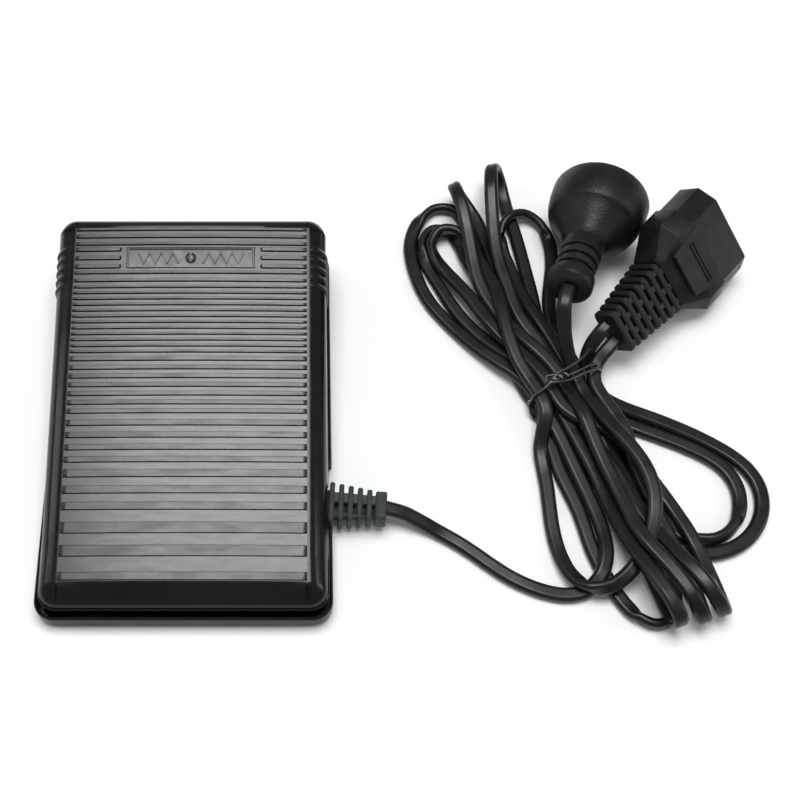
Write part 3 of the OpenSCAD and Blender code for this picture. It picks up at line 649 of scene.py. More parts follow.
def moulded_black(name, grain_size, grain_depth, rough):
    """Moulded PVC with the fine spark-eroded grain of its tool."""
    s = Surface(name, specular=0.25)
    s.worn_edges(s.noise(0.009, 4), (0.005, 0.005, 0.0055), (0.010, 0.010, 0.011), (0.022, 0.022, 0.023))
    s.gloss(s.noise(0.006, 4), rough[0], rough[1])
    s.relief(s.cells(grain_size), grain_depth, 0.8)
    return s.relief(s.noise(0.003, 3), 0.03 * MM, 0.4).material


def metal(name, dark, light, rough, brushing=(1.0, 1.0, 12.0), line=0.0008):
    """Bare metal, brushed across one axis and a little stained."""
    s = Surface(name, metallic=1.0)
    s.colour(s.noise(0.004, 5), dark, light)
    s.gloss(s.noise(line, 4, brushing), rough[0], rough[1])
    return s.relief(s.noise(line, 3, brushing), 0.01 * MM, 0.6).material


def plastic(name, dark, light, rough, grain=0.0008, depth=0.01 * MM):
    s = Surface(name, specular=0.45)
    edge = tuple(min(1.0, 1.4 * c + 0.02) for c in light)
    s.worn_edges(s.noise(0.006, 4), dark, light, edge)
    s.gloss(s.noise(0.003, 4), rough[0], rough[1])
    return s.relief(s.noise(grain, 3), depth, 0.7).material


def fish_paper():
    s = Surface("fish_paper", specular=0.2)
    s.colour(s.noise(0.0012, 6), (0.52, 0.46, 0.32), (0.66, 0.60, 0.45))
    s.gloss(s.noise(0.002, 4), 0.7, 0.9)
    return s.relief(s.noise(0.0006, 6, (1.0, 4.0, 1.0)), 0.03 * MM, 0.8).material


def board_laminate():
    """Paper-based laminate with the faint weave of its layers."""
    s = Surface("board_laminate", specular=0.4)
    s.colour(s.waves(0.0015, "X", 2.0), (0.22, 0.12, 0.04), (0.34, 0.20, 0.08), (0.2, 0.8))
    s.gloss(s.noise(0.002, 4), 0.35, 0.55)
    return s.relief(s.waves(0.0008, "Y", 1.0), 0.01 * MM, 0.5).material


def floor_white():
    s = Surface("floor_white", specular=0.1)
    s.colour(s.noise(0.4, 2), (0.90, 0.90, 0.90), (0.93, 0.93, 0.93))
    return s.gloss(s.noise(0.2, 2), 0.75, 0.9).material


MATERIALS = {
    "gloss_black": gloss_black(),
    "plate_black": plate_black(),
    "black_steel": black_steel(),
    "foot_rubber": foot_rubber(),
    "bright_steel": metal("bright_steel", (0.45, 0.46, 0.47), (0.66, 0.66, 0.67), (0.22, 0.42)),
    "fish_paper": fish_paper(),
    "board_laminate": board_laminate(),
    "cream_plastic": plastic("cream_plastic", (0.66, 0.60, 0.46), (0.78, 0.73, 0.60), (0.34, 0.52)),
    "carbon_track": plastic("carbon_track", (0.02, 0.018, 0.016), (0.05, 0.045, 0.04), (0.55, 0.75), 0.0003),
    "contact_brass": metal("contact_brass", (0.55, 0.38, 0.13), (0.78, 0.58, 0.26), (0.20, 0.40)),
    "device_black": plastic("device_black", (0.013, 0.013, 0.014), (0.026, 0.026, 0.028), (0.45, 0.65), 0.0004),
    "sink_aluminium": metal("sink_aluminium", (0.50, 0.51, 0.52), (0.70, 0.70, 0.71), (0.28, 0.48)),
    "capacitor_red": plastic("capacitor_red", (0.30, 0.05, 0.02), (0.46, 0.10, 0.04), (0.12, 0.26), 0.0015),
    "ferrite": plastic("ferrite", (0.05, 0.065, 0.045), (0.09, 0.11, 0.08), (0.6, 0.8), 0.0005, 0.03 * MM),
    "copper_wire": metal("copper_wire", (0.45, 0.15, 0.05), (0.70, 0.30, 0.12), (0.15, 0.30)),
    "resistor_tan": plastic("resistor_tan", (0.40, 0.26, 0.12), (0.56, 0.40, 0.22), (0.30, 0.50)),
    "trimmer_blue": plastic("trimmer_blue", (0.02, 0.07, 0.28), (0.05, 0.14, 0.42), (0.34, 0.52)),
    "clamp_plastic": plastic("clamp_plastic", (0.025, 0.025, 0.028), (0.045, 0.045, 0.05), (0.38, 0.58)),
    "core_insulation": plastic("core_insulation", (0.14, 0.05, 0.03), (0.24, 0.10, 0.05), (0.34, 0.50)),
    "relief_rubber": relief_rubber(),
    "lead_sheath": lead_sheath(),
    "moulded_black": moulded_black("moulded_black", 0.0005, 0.05 * MM, (0.36, 0.52)),
    "plated_blades": metal("plated_blades", (0.62, 0.61, 0.58), (0.78, 0.77, 0.74), (0.14, 0.30)),
}
TRAY_BLACK = tray_black()
TREAD_STRIP = tread_strip()
TREAD_BAR = tread_bar()
TREAD_EDGE_PAINTED_SHADE = tread_edge_painted_shade()
BELL_GRAIN = moulded_black("bell_grain", 0.0007, 0.09 * MM, (0.34, 0.46))
FLOOR_WHITE = floor_white()


def dress_cad_nodes():
    """Every CAD node gets its slot's material; those listed in ROUNDED_NODES also get slightly rounded edges.
    """
    slot_of = {s["node"]: s["material_slot"] for s in frame["record"]["subparts"]}
    for name, obj in frame["nodes"].items():
        if not obj.material_slots:
            obj.data.materials.append(None)
        for material_slot in obj.material_slots:
            material_slot.link = "OBJECT"
            material_slot.material = MATERIALS[slot_of[name]]
        if name in ROUNDED_NODES:
            bevelled(obj, ROUNDED_NODES[name], 2)


ROUNDED_NODES = {
    "rubber_feet": 0.3 * MM, "control_housing": 0.3 * MM, "triac": 0.25 * MM,
    "heat_sink": 0.15 * MM, "capacitor": 0.6 * MM, "terminal_block": 0.3 * MM, "cord_clamp": 0.3 * MM,
    "plug_blades": 0.3 * MM, "trim_resistor": 0.2 * MM, "hinge_pin": 0.2 * MM, "stop_buffers": 0.3 * MM,
}


# ---------------------------------------------------------------- treadle cover
COVER_HALF_W = 55.5 * MM
COVER_HALF_L = 79.25 * MM
LIP_MIDDLE_Z = 13.25 * MM
LIP_SLOPE = 5.5 / 145
HEEL_Y = -70 * MM
HEEL_Z = 18.5 * MM
TREAD_SLOPE = 24 / 142
TREAD_TILT = math.atan(TREAD_SLOPE)
WALL_DRAFT = 0.5 * MM
SIDE_INSET = 8 * MM
TOE_INSET = 6.75 * MM
HEEL_INSET = 8.75 * MM
SHOULDER_DROP = 8 * MM
LIP_CORNER = 7 * MM
TREAD_CORNER = 1.2 * MM
COVER_WALL = 2.3 * MM
LIP_BEAD = 1.3 * MM
CROWN = 0.6 * MM
BAR_RISE = 0.7 * MM
BAR_HALF_L = 47 * MM
BAR_EDGE = 0.28 * MM
PLATE_S = 131 * MM
PLATE_W = 52 * MM
PLATE_H = 9.2 * MM
PLATE_DEPTH = 0.8 * MM
# first bar's place up the tread, count, pitch and width, in millimetres
BAR_ROWS = [(1.8, 1, 0, 3.2), (11.4, 2, 8.8, 4.4), (28.6, 3, 6.4, 3.2), (46.9, 4, 4.9, 2.5),
            (66.3, 7, 3.6, 2), (90.9, 12, 2.5, 1.2), (121.2, 2, 3.4, 1.4), (137.2, 3, 3.2, 1.5)]
SHORT_BARS = (127.3, 3, 3.7, 1.9)
SHORT_BAR_FROM = 28.2 * MM
RELIEF_Y = -35.5 * MM


def tread_z(y):
    return HEEL_Z + (y - HEEL_Y) * TREAD_SLOPE


def crown(x):
    """The tread is a little higher along its middle."""
    return CROWN * max(0.0, 1 - (x / BAR_HALF_L) ** 2)


def on_tread(x, s, h):
    """A point of the tread: across, up the tread from its heel edge, and above its plane."""
    return Vector((x, HEEL_Y + s * math.cos(TREAD_TILT) - h * math.sin(TREAD_TILT),
                   HEEL_Z + s * math.sin(TREAD_TILT) + h * math.cos(TREAD_TILT) + crown(x)))


def all_bars():
    """Every bar as (low s, high s, low |x|, high |x|)."""
    bars = []
    for first, count, pitch, width in BAR_ROWS:
        for i in range(count):
            s = (first + i * pitch) * MM
            bars.append((s - width / 2 * MM, s + width / 2 * MM, 0.0, BAR_HALF_L))
    first, count, pitch, width = SHORT_BARS
    for i in range(count):
        s = (first + i * pitch) * MM
        bars.append((s - width / 2 * MM, s + width / 2 * MM, SHORT_BAR_FROM, BAR_HALF_L))
    return bars


def tread_height(x, s, bars):
    """How far the tread's surface stands above its plane."""
    plate_x = PLATE_W / 2 - abs(x)
    plate_s = PLATE_H / 2 - abs(s - PLATE_S)
    if plate_x > 0 and plate_s > 0:
        return -PLATE_DEPTH
    height = 0.0
    for s0, s1, x0, x1 in bars:
        if s0 < s < s1 and x0 <= abs(x) < x1:
            along = min(x1 - abs(x), (abs(x) - x0) if x0 else x1)
            rounded = min(along, (s1 - s0) / 2)
            corner = (s1 - s0) / 2
            in_corner = x0 and abs(x) - x0 < corner
            reach = math.sqrt(max(0.0, 1 - (1 - rounded / corner) ** 2)) if in_corner else 1.0
            edge = min(s - s0, s1 - s) - corner * (1 - reach)
            inside = min(edge, along)
            if inside > 0:
                height = BAR_RISE * min(1.0, math.sin(min(1.0, inside / BAR_EDGE) * math.pi / 2) ** 0.5)
    return height


def tread_lines(bars):
    """Where the tread's mesh has its lines: x and s."""
    ease = [0.0, 0.05 * MM, 0.14 * MM, BAR_EDGE]
    s_lines = {-0.5 * MM, 144.9 * MM}
    for s0, s1, _, _ in bars:
        for e in ease:
            s_lines.update((round(s0 + e, 7), round(s1 - e, 7)))
        s_lines.add(round(s0 - 0.05 * MM, 7))
        s_lines.add(round(s1 + 0.05 * MM, 7))
        s_lines.add(round((s0 + s1) / 2, 7))
    for edge in (PLATE_S - PLATE_H / 2, PLATE_S + PLATE_H / 2):
        s_lines.update((round(edge - 0.04 * MM, 7), round(edge + 0.04 * MM, 7)))
    x_half = {0.0, 6 * MM, 12 * MM, 18 * MM, 24 * MM, 34 * MM, 38 * MM, 42 * MM, 45 * MM, 47.6 * MM}
    for e in ease:
        x_half.add(BAR_HALF_L - e)
    x_half.add(BAR_HALF_L + 0.05 * MM)
    for e in (-0.05, 0.0, 0.08, 0.2, 0.35, 0.55, 0.8, 1.1):
        x_half.add(SHORT_BAR_FROM + e * MM)
    for e in (-0.04, 0.04):
        x_half.add(PLATE_W / 2 + e * MM)
    x_lines = sorted({-x for x in x_half} | x_half)
    return x_lines, sorted(s for s in s_lines if -0.6 * MM < s < 145 * MM)


def wall_ring(across, xs, ys):
    """One ring round the cover; `across` is what shoulder_ring or lip_ring gives."""
    half_w, toe, heel, radius, height = across
    corners = 7
    ring = [Vector((half_w, y, 0)) for y in ys]

    def corner(cx, cy, start):
        angles = [start + math.pi / 2 * i / corners for i in range(corners + 1)]
        return [Vector((cx + radius * math.cos(a), cy + radius * math.sin(a), 0)) for a in angles]

    ring += corner(half_w - radius, toe - radius, 0)
    ring += [Vector((x, toe, 0)) for x in reversed(xs)]
    ring += corner(-half_w + radius, toe - radius, math.pi / 2)
    ring += [Vector((-half_w, y, 0)) for y in reversed(ys)]
    ring += corner(-half_w + radius, heel + radius, math.pi)
    ring += [Vector((x, heel, 0)) for x in xs]
    ring += corner(half_w - radius, heel + radius, 3 * math.pi / 2)
    for p in ring:
        p.z = height(p.x, p.y)
    return ring


def shoulder_ring(degrees, inset=0.0):
    """Half width, ends, corner radius and height of the rounded shoulder: 0 at the wall, 90 on top."""
    f = 1 - math.cos(math.radians(degrees))
    rise = math.sin(math.radians(degrees))
    radius = LIP_CORNER - inset / 2 + (TREAD_CORNER - LIP_CORNER) * f
    half_w = COVER_HALF_W - inset - WALL_DRAFT - SIDE_INSET * f
    toe = COVER_HALF_L - inset - WALL_DRAFT - TOE_INSET * f
    heel = -(COVER_HALF_L - inset - WALL_DRAFT - HEEL_INSET * f)

    def height(x, y):
        drop = min(SHOULDER_DROP, tread_z(y) - lip_z(y) - LIP_BEAD)
        return tread_z(y) - inset - max(0.0, drop - inset) * (1 - rise)

    return half_w, toe, heel, radius, height


def lip_z(y):
    return LIP_MIDDLE_Z + y * LIP_SLOPE


# rounded lower edge of the cover: how far out and up its rings lie, in millimetres
LIP_EDGE = [(-0.15, 1.05), (0.05, 0.75), (0.05, 0.35), (-0.25, 0.0), (-1.7, 0.0)]


def lip_ring(out, up):
    """The cover's lower edge, moved outwards and upwards."""
    return (COVER_HALF_W + out, COVER_HALF_L + out, -COVER_HALF_L - out, LIP_CORNER + out,
            lambda x, y: lip_z(y) + up)


def make_cover():
    """Crowned tread with its bars, rolled shoulders, drafted walls and beaded lip, as one closed shell."""
    bars = all_bars()
    xs, ss = tread_lines(bars)
    verts = [on_tread(x, s, tread_height(x, s, bars)) for s in ss for x in xs]
    faces = []
    wide = len(xs)
    for r in range(len(ss) - 1):
        for c in range(wide - 1):
            a = r * wide + c
            faces.append((a, a + 1, a + wide + 1, a + wide))
    ys = [on_tread(0, s, 0).y for s in ss]
    rings = [shoulder_ring(a) for a in (76, 66, 56, 46, 36, 26, 17, 8, 0)]
    rings += [lip_ring(out * MM, up * MM) for out, up in LIP_EDGE] + [lip_ring(-COVER_WALL, 0.5 * MM)]
    rings += [shoulder_ring(a, COVER_WALL) for a in (0, 30, 60, 84)]
    base = len(verts)
    loops = [wall_ring(r, xs, ys) for r in rings]
    count = len(loops[0])
    for loop in loops:
        verts.extend(loop)
    for r in range(len(loops) - 1):
        for i in range(count):
            j = (i + 1) % count
            faces.append((base + r * count + i, base + r * count + j,
                          base + (r + 1) * count + j, base + (r + 1) * count + i))
    faces.append(tuple(base + (len(loops) - 1) * count + i for i in range(count)))
    faces += tread_border(xs, ss, base, count)
    obj = add_piece("cover_shell", verts, faces, MATERIALS["gloss_black"], "treadle", "gloss_black",
                    ("treadle_cover",), 38)
    obj.data.materials.append(TREAD_STRIP)
    obj.data.materials.append(TREAD_BAR)
    obj.data.materials.append(TREAD_EDGE_PAINTED_SHADE)
    tread_normal = Vector((0, -math.sin(TREAD_TILT), math.cos(TREAD_TILT)))
    for face in obj.data.polygons:
        centre = face.center
        above = (centre - on_tread(0, 0, 0)).dot(tread_normal) + CROWN - crown(centre.x)
        inside = abs(centre.x) < BAR_HALF_L and on_tread(0, 0, 0).y < centre.y < on_tread(0, ss[-2], 0).y
        if face.normal.dot(tread_normal) > 0.02 and inside and -0.3 * MM < above:
            level = face.normal.dot(tread_normal) > 0.97
            # the steep bar edges take the near-black material, painted shade for the bars' dark outlines
            face.material_index = 3 if not level else 2 if above > 0.55 * BAR_RISE else 1
    notch = box_shape((COVER_HALF_W - 5 * MM, RELIEF_Y - 5.8 * MM, -1 * MM),
                      (COVER_HALF_W + 5 * MM, RELIEF_Y + 5.8 * MM, 15.7 * MM))
    cut(obj, *notch)
    smooth_by_angle(obj, 38)
    return obj


def tread_border(xs, ss, base, count):
    """Faces between the tread's edge and the first ring of the shoulder, with a fan at each corner."""
    wide, high, corner = len(xs), len(ss), 8
    faces = []
    sides = [
        ([r * wide + wide - 1 for r in range(high)], 0),
        ([(high - 1) * wide + c for c in reversed(range(wide))], high + corner),
        ([r * wide for r in reversed(range(high))], high + wide + 2 * corner),
        (list(range(wide)), 2 * high + wide + 3 * corner),
    ]
    for edge, start in sides:
        for k in range(len(edge) - 1):
            faces.append((edge[k], edge[k + 1], base + start + k + 1, base + start + k))
        last = start + len(edge) - 1
        for k in range(corner + 1):
            faces.append((edge[-1], base + (last + k + 1) % count, base + last + k))
    return faces


def make_cover_ribs():
    """Five saw-tooth grip ribs on each side near the toe, following the wall over its shoulder."""
    first, pitch, long = 48.5 * MM - 1.3 * MM, 3.8 * MM, 2.9 * MM
    profile = [(0.0, -0.35), (0.15, 0.35), (0.35, 0.72), (0.6, 0.78), (1.1, 0.55), (2.0, 0.2),
               (2.9, -0.35)]
    levels = [("lip", 5.5 * MM), ("wall", 0), ("wall", 12), ("wall", 24), ("wall", 36), ("wall", 48),
              ("wall", 60), ("wall", 70), ("wall", 78)]
    shapes = []
    for side in (-1, 1):
        for i in range(5):
            rings = []
            for k, (kind, value) in enumerate(levels):
                fade = 1 - max(0.0, (k - 5) / 3.5)
                ring = []
                for y_at, out in profile + [(2.9, -1.4), (0.0, -1.4)]:
                    y = first + i * pitch + y_at * MM
                    if kind == "lip":
                        x, z, nx, nz = COVER_HALF_W - 0.35 * MM, 21.0 * MM, 1.0, 0.0
                    else:
                        half_w, _, _, _, height = shoulder_ring(value)
                        x, z = half_w, height(0, y)
                        nx, nz = math.cos(math.radians(value)), math.sin(math.radians(value))
                    lift = out * MM * fade if out > 0 else out * MM
                    ring.append(Vector((side * (x + nx * lift), y, z + nz * lift)))
                rings.append(ring)
            shapes.append(lofted(rings))
    verts, faces = joined(shapes)
    return add_piece("grip_ribs", verts, faces, MATERIALS["gloss_black"], "treadle", "gloss_black", (), 45)


# places of the working parts under the cover, in millimetres
HINGE_Y = -66
HINGE_Z = 11
KNUCKLE_X = 32
BOSS_X = 40
HINGE_R = 4.5
HINGE_BORE_R = 2.05
SPRING_X = 28
SPRING_Y = 52
SPRING_TOP_Z = 31
BUFFER_X = 40
BUFFER_Y = 62
BUFFER_TOP_Z = 26.5
PLUNGER_Y = 18
PLUNGER_TOP_Z = 28.8
HOOK_X = 18


def on_hinge(x):
    """Stands a turned shape on the hinge line, +Z running across the pedal from x - 3 mm."""
    return Matrix.Translation(Vector((x - 3, HINGE_Y, HINGE_Z)) * MM) @ Matrix.Rotation(math.pi / 2, 4, "Y")


def box_mm(low, high):
    return box_shape(Vector(low) * MM, Vector(high) * MM)


def make_cover_underside():
    """Knuckles for the hinge pin, posts for the springs, stops and plunger, and the hooks under the toe."""
    shapes = []
    bore, outer, long = HINGE_BORE_R * MM, HINGE_R * MM, 6 * MM
    for x in (-KNUCKLE_X, KNUCKLE_X):
        turn = on_hinge(x)
        ring = [(0, bore), (0, outer - 0.4 * MM), (0.4 * MM, outer), (long - 0.4 * MM, outer),
                (long, outer - 0.4 * MM), (long, bore)]
        loops = []
        angles = [2 * math.pi * i / 40 for i in range(40)]
        for along, radius in ring + ring[:1]:
            loops.append([turn @ Vector((radius * math.cos(a), radius * math.sin(a), along))
                          for a in angles])
        shapes.append(lofted(loops, False, False))
        shapes.append(box_mm((x - 3, HINGE_Y - 4.3, 15), (x + 3, HINGE_Y + 4.3, 17.3)))
    posts = [(0, PLUNGER_Y, PLUNGER_TOP_Z, 2)]
    for side in (-1, 1):
        posts += [(side * SPRING_X, SPRING_Y, SPRING_TOP_Z, 6.3),
                  (side * SPRING_X, SPRING_Y, SPRING_TOP_Z - 4, 3.1),
                  (side * BUFFER_X, BUFFER_Y, BUFFER_TOP_Z, 3)]
    for x, y, z, radius in posts:
        top = tread_z(y * MM) - COVER_WALL + 0.4 * MM - z * MM
        stand = Matrix.Translation(Vector((x, y, z)) * MM)
        r = radius * MM
        profile = [(0, r * 0.55), (0, r - 0.3 * MM), (0.3 * MM, r), (top - 1.2 * MM, r),
                   (top - 0.3 * MM, r + 0.4 * MM), (top, r + 0.9 * MM)]
        shapes.append(lathed(profile, stand, 36))
    hook_top = tread_z(68 * MM) / MM - 1.5
    for x in (-HOOK_X, HOOK_X):
        shapes.append(box_mm((x - 4, 68.1, 15.5), (x + 4, 70.1, hook_top)))
        shapes.append(box_mm((x - 4, 69.9, 15.5), (x + 4, 73.2, 17.5)))
    verts, faces = joined(shapes)
    obj = add_piece("cover_underside", verts, faces, MATERIALS["gloss_black"], "treadle", "gloss_black")
    return bevelled(obj, 0.25 * MM, 2)


def make_name_plate():
    """Framed plate with a raised zigzag stitch line on each side of its screw."""
    half_w, half_h = PLATE_W / 2 - 0.1 * MM, PLATE_H / 2 - 0.1 * MM
    frame_w, floor, top = 0.9 * MM, -0.25 * MM, 0.35 * MM
    outer = rounded_loop(half_w, half_h, 0.8 * MM, 5)
    inner = rounded_loop(half_w - frame_w, half_h - frame_w, 0.4 * MM, 5)
    steps = [(outer, -PLATE_DEPTH, 0), (outer, top - 0.18 * MM, 0), (outer, top - 0.03 * MM, 0.12 * MM),
             (outer, top, 0.28 * MM), (inner, top, -0.2 * MM), (inner, top - 0.1 * MM, -0.05 * MM),
             (inner, floor, 0)]
    rings = []
    for loop, height, shrink in steps:
        ring = []
        for x, y in loop:
            back = Vector((x, y, 0)).normalized() * shrink
            ring.append(on_tread(x - back.x, PLATE_S + y - back.y, height))
        rings.append(ring)
    shapes = [lofted(rings)]
    shapes += [stitch_line(side) for side in (-1, 1)]
    verts, faces = joined(shapes)
    return add_piece("badge_plate", verts, faces, MATERIALS["plate_black"], "treadle", "plate_black",
                     ("name_plate",), 40)


def stitch_line(side):
    """A raised zigzag as a sewing machine makes it, from near the screw to near the plate's end."""
    start, pitch, turns, swing = 5.0 * MM, 2.35 * MM, 8, 2.3 * MM
    half, floor, rise = 0.42 * MM, -0.35 * MM, 0.42 * MM
    line = []
    for i in range(turns):
        line.append((side * (start + i * pitch), PLATE_S + (swing if i % 2 else -swing)))
    rings = []
    for i, (x, s) in enumerate(line):
        before = line[max(i - 1, 0)]
        after = line[min(i + 1, len(line) - 1)]
        d1 = Vector((x - before[0], s - before[1]))
        d2 = Vector((after[0] - x, after[1] - s))
        d = sum((v.normalized() for v in (d1, d2) if v.length), Vector((0, 0)))
        d.normalize()
        across = Vector((-d.y, d.x))
        width = half if i in (0, len(line) - 1) else half * 1.5
        section = [(-1, floor), (-1, rise * 0.45), (-0.6, rise * 0.9), (0, rise), (0.6, rise * 0.9),
                   (1, rise * 0.45), (1, floor)]
        rings.append([on_tread(x + across.x * a * width, s + across.y * a * width, h - 0.1 * MM)
                      for a, h in section])
    return lofted(rings)


def make_plate_screw():
    """Round slotted head that holds the plate."""
    normal = Vector((0, -math.sin(TREAD_TILT), math.cos(TREAD_TILT)))
    upright = normal.to_track_quat("Z", "Y").to_matrix().to_4x4()
    stand = Matrix.Translation(on_tread(0, PLATE_S, 0)) @ upright
    profile = [(-5, 0.7), (-4.6, 1.15), (-0.3, 1.15), (-0.28, 2.1), (0.1, 2.2), (0.55, 2.05),
               (0.85, 1.6), (1.0, 0.9), (1.03, 0.3)]
    verts, faces = lathed([(a * MM, r * MM) for a, r in profile], stand, 48)
    obj = add_piece("badge_screw", verts, faces, MATERIALS["black_steel"], "treadle", "black_steel",
                    ("plate_screw",), 35)
    return cut(obj, *box_shape(Vector((-0.35, -3, 0.45)) * MM, Vector((0.35, 3, 2)) * MM, stand))


# ---------------------------------------------------------------- base tray
TRAY_HALF_W = 57 * MM
TRAY_HALF_L = 82.5 * MM
TRAY_CORNER = 8 * MM
FLOOR_Z = 4.5
# inner side and both ends of the cut in the tray's right side, in millimetres
RECESS_X = 54.8
RECESS_START_Y = -45
RECESS_END_Y = -17.7
# profile from the underside round the rim to the inner floor: inset from the outside and height
TRAY_PROFILE = [(1.2, 2.0), (0.5, 2.1), (0.15, 2.4), (0.0, 2.9), (0.0, 8.6), (0.08, 9.4), (0.22, 9.95),
                (0.42, 10.3), (0.64, 10.47), (0.80, 10.5), (0.96, 10.44), (1.10, 10.25), (1.18, 9.95),
                (1.20, 9.5), (1.20, FLOOR_Z)]


def tray_ring(inset, z):
    loop = rounded_loop(TRAY_HALF_W - inset * MM, TRAY_HALF_L - inset * MM, TRAY_CORNER - inset * MM, 10)
    return [Vector((x, y, z * MM)) for x, y in loop]


def make_tray():
    """Shallow tray with a rolled rim, cut back on the right where the lead leaves."""
    verts, faces = lofted([tray_ring(*p) for p in TRAY_PROFILE])
    obj = add_piece("tray_shell", verts, faces, TRAY_BLACK, "base", "gloss_black", ("base_tray",), 30)
    outside = RECESS_X + 7.2
    corners = [(RECESS_X, RECESS_START_Y), (outside, RECESS_START_Y - 1),
               (outside, RECESS_END_Y), (RECESS_X, RECESS_END_Y)]
    recess = [[Vector((x, y, z)) * MM for x, y in corners] for z in (-1, 20)]
    cut(obj, *lofted(recess))
    smooth_by_angle(obj, 30)
    return obj


def make_tray_inside():
    """Wall that stands inside the cover, with the bosses and posts of the tray's floor."""
    ring_w, ring_l, ring_t = 50.5, 73.5, 1.6
    heel_top, toe_top = 9.5, 24.0
    foot_z = 4.2

    def wall_top(y):
        return heel_top + (toe_top - heel_top) * (y / MM + ring_l) / (2 * ring_l)

    rings = []
    for inset, corner, top in ((0, 4, False), (0, 4, True), (ring_t, 2.5, True), (ring_t, 2.5, False)):
        loop = rounded_loop((ring_w - inset) * MM, (ring_l - inset) * MM, corner * MM, 6)
        rings.append([Vector((x, y, (wall_top(y) if top else foot_z) * MM)) for x, y in loop])
    wall_verts, wall_faces = lofted(rings, False, False)
    wall = add_piece("tray_wall", wall_verts, wall_faces, TRAY_BLACK, "base", "gloss_black")
    lead_way = box_mm((ring_w - 5, -40.6, 6.4), (ring_w + 5, -30.4, 36))
    cut(wall, *lead_way)
    for x in (-HOOK_X, HOOK_X):
        hook_slot = box_mm((x - 4.5, ring_l - 5, 4.5), (x + 4.5, ring_l + 5, 17.8))
        cut(wall, *hook_slot)
    shapes = []
    posts = [(x, y, 7.5, 3.2) for x in (-26, 26) for y in (-13, 23)]
    posts += [(x, SPRING_Y, 14, 3) for x in (-SPRING_X, SPRING_X)]
    posts += [(38, y, 7.5, 3) for y in (-43.5, -27.5)]
    for x, y, top, radius in posts:
        profile = [(foot_z, radius + 0.8), (4.6, radius + 0.3), (5.2, radius),
                   (top - 0.3, radius), (top, radius - 0.3)]
        stand = Matrix.Translation(Vector((x, y, 0)) * MM)
        shapes.append(lathed([(a * MM, r * MM) for a, r in profile], stand, 36))
    boss = [(0, HINGE_R - 0.4), (0.4, HINGE_R), (5.6, HINGE_R), (6, HINGE_R - 0.4)]
    for x in (-BOSS_X, BOSS_X):
        shapes.append(lathed([(a * MM, r * MM) for a, r in boss], on_hinge(x), 40))
        shapes.append(box_mm((x - 3, HINGE_Y - HINGE_R, foot_z), (x + 3, HINGE_Y + HINGE_R, HINGE_Z)))
    verts, faces = joined(shapes)
    posts_piece = add_piece("tray_posts", verts, faces, TRAY_BLACK, "base", "gloss_black", (), 40)
    return wall, posts_piece


SPRING_R = 4.3
SPRING_WIRE = 0.6
SPRING_TURNS = 7
CLOSED_TURNS = 0.6


def coil_height(turn):
    """Height up the spring: its first and last turns lie flat, the ones between climb evenly."""
    share = (turn - CLOSED_TURNS) / (SPRING_TURNS - 2 * CLOSED_TURNS)
    low, high = FLOOR_Z + SPRING_WIRE + 0.1, SPRING_TOP_Z - SPRING_WIRE - 0.1
    return low + (high - low) * min(1.0, max(0.0, share))


def make_springs():
    """Coil springs under the toe end, their feet on the tray and their tops up under the cover."""
    steps = 24
    shapes = []
    for x in (-SPRING_X, SPRING_X):
        coil = []
        for i in range(SPRING_TURNS * steps + 1):
            angle = 2 * math.pi * i / steps
            coil.append(Vector((x + SPRING_R * math.cos(angle), SPRING_Y + SPRING_R * math.sin(angle),
                                coil_height(i / steps))) * MM)
        shapes.append(tube(coil, SPRING_WIRE * MM, 10))
    verts, faces = joined(shapes)
    springs = add_piece("springs", verts, faces, MATERIALS["bright_steel"], None, "bright_steel",
                        ("return_springs",), 60)
    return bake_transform(springs)


# ---------------------------------------------------------------- strain relief
RELIEF_AT = Vector((56, -35.5, 9.5)) * MM
RELIEF_YAW = math.radians(-4)
RELIEF_PITCH = 3.7 * MM
RELIEF_RIBS = 5
RELIEF_RIB_T = 2.0 * MM
# where the first rib starts and where the end block starts and ends, outwards from RELIEF_AT
RELIEF_START_X = -0.3 * MM
RELIEF_BLOCK_X = 17.9 * MM
RELIEF_END_X = 22.3 * MM
# how much more the ribs reach down than up, in millimetres
RELIEF_SAG = 0.6


def block(matrix, x0, x1, loop, ease):
    """A slab between x0 and x1 with the given (y, z) outline and eased rims."""
    rings = []
    for x, shrink in ((x0, ease), (x0 + ease, 0), (x1 - ease, 0), (x1, ease)):
        ring = []
        for y, z in loop:
            length = math.hypot(y, z)
            k = (length - shrink) / length
            ring.append(matrix @ Vector((x, y * k, z * k)))
        rings.append(ring)
    return lofted(rings)


def offset_loop(half_y, half_z, radius, at_y=0.0, at_z=0.0):
    return [(at_y + y, at_z + z) for y, z in rounded_loop(half_y, half_z, radius, 5)]


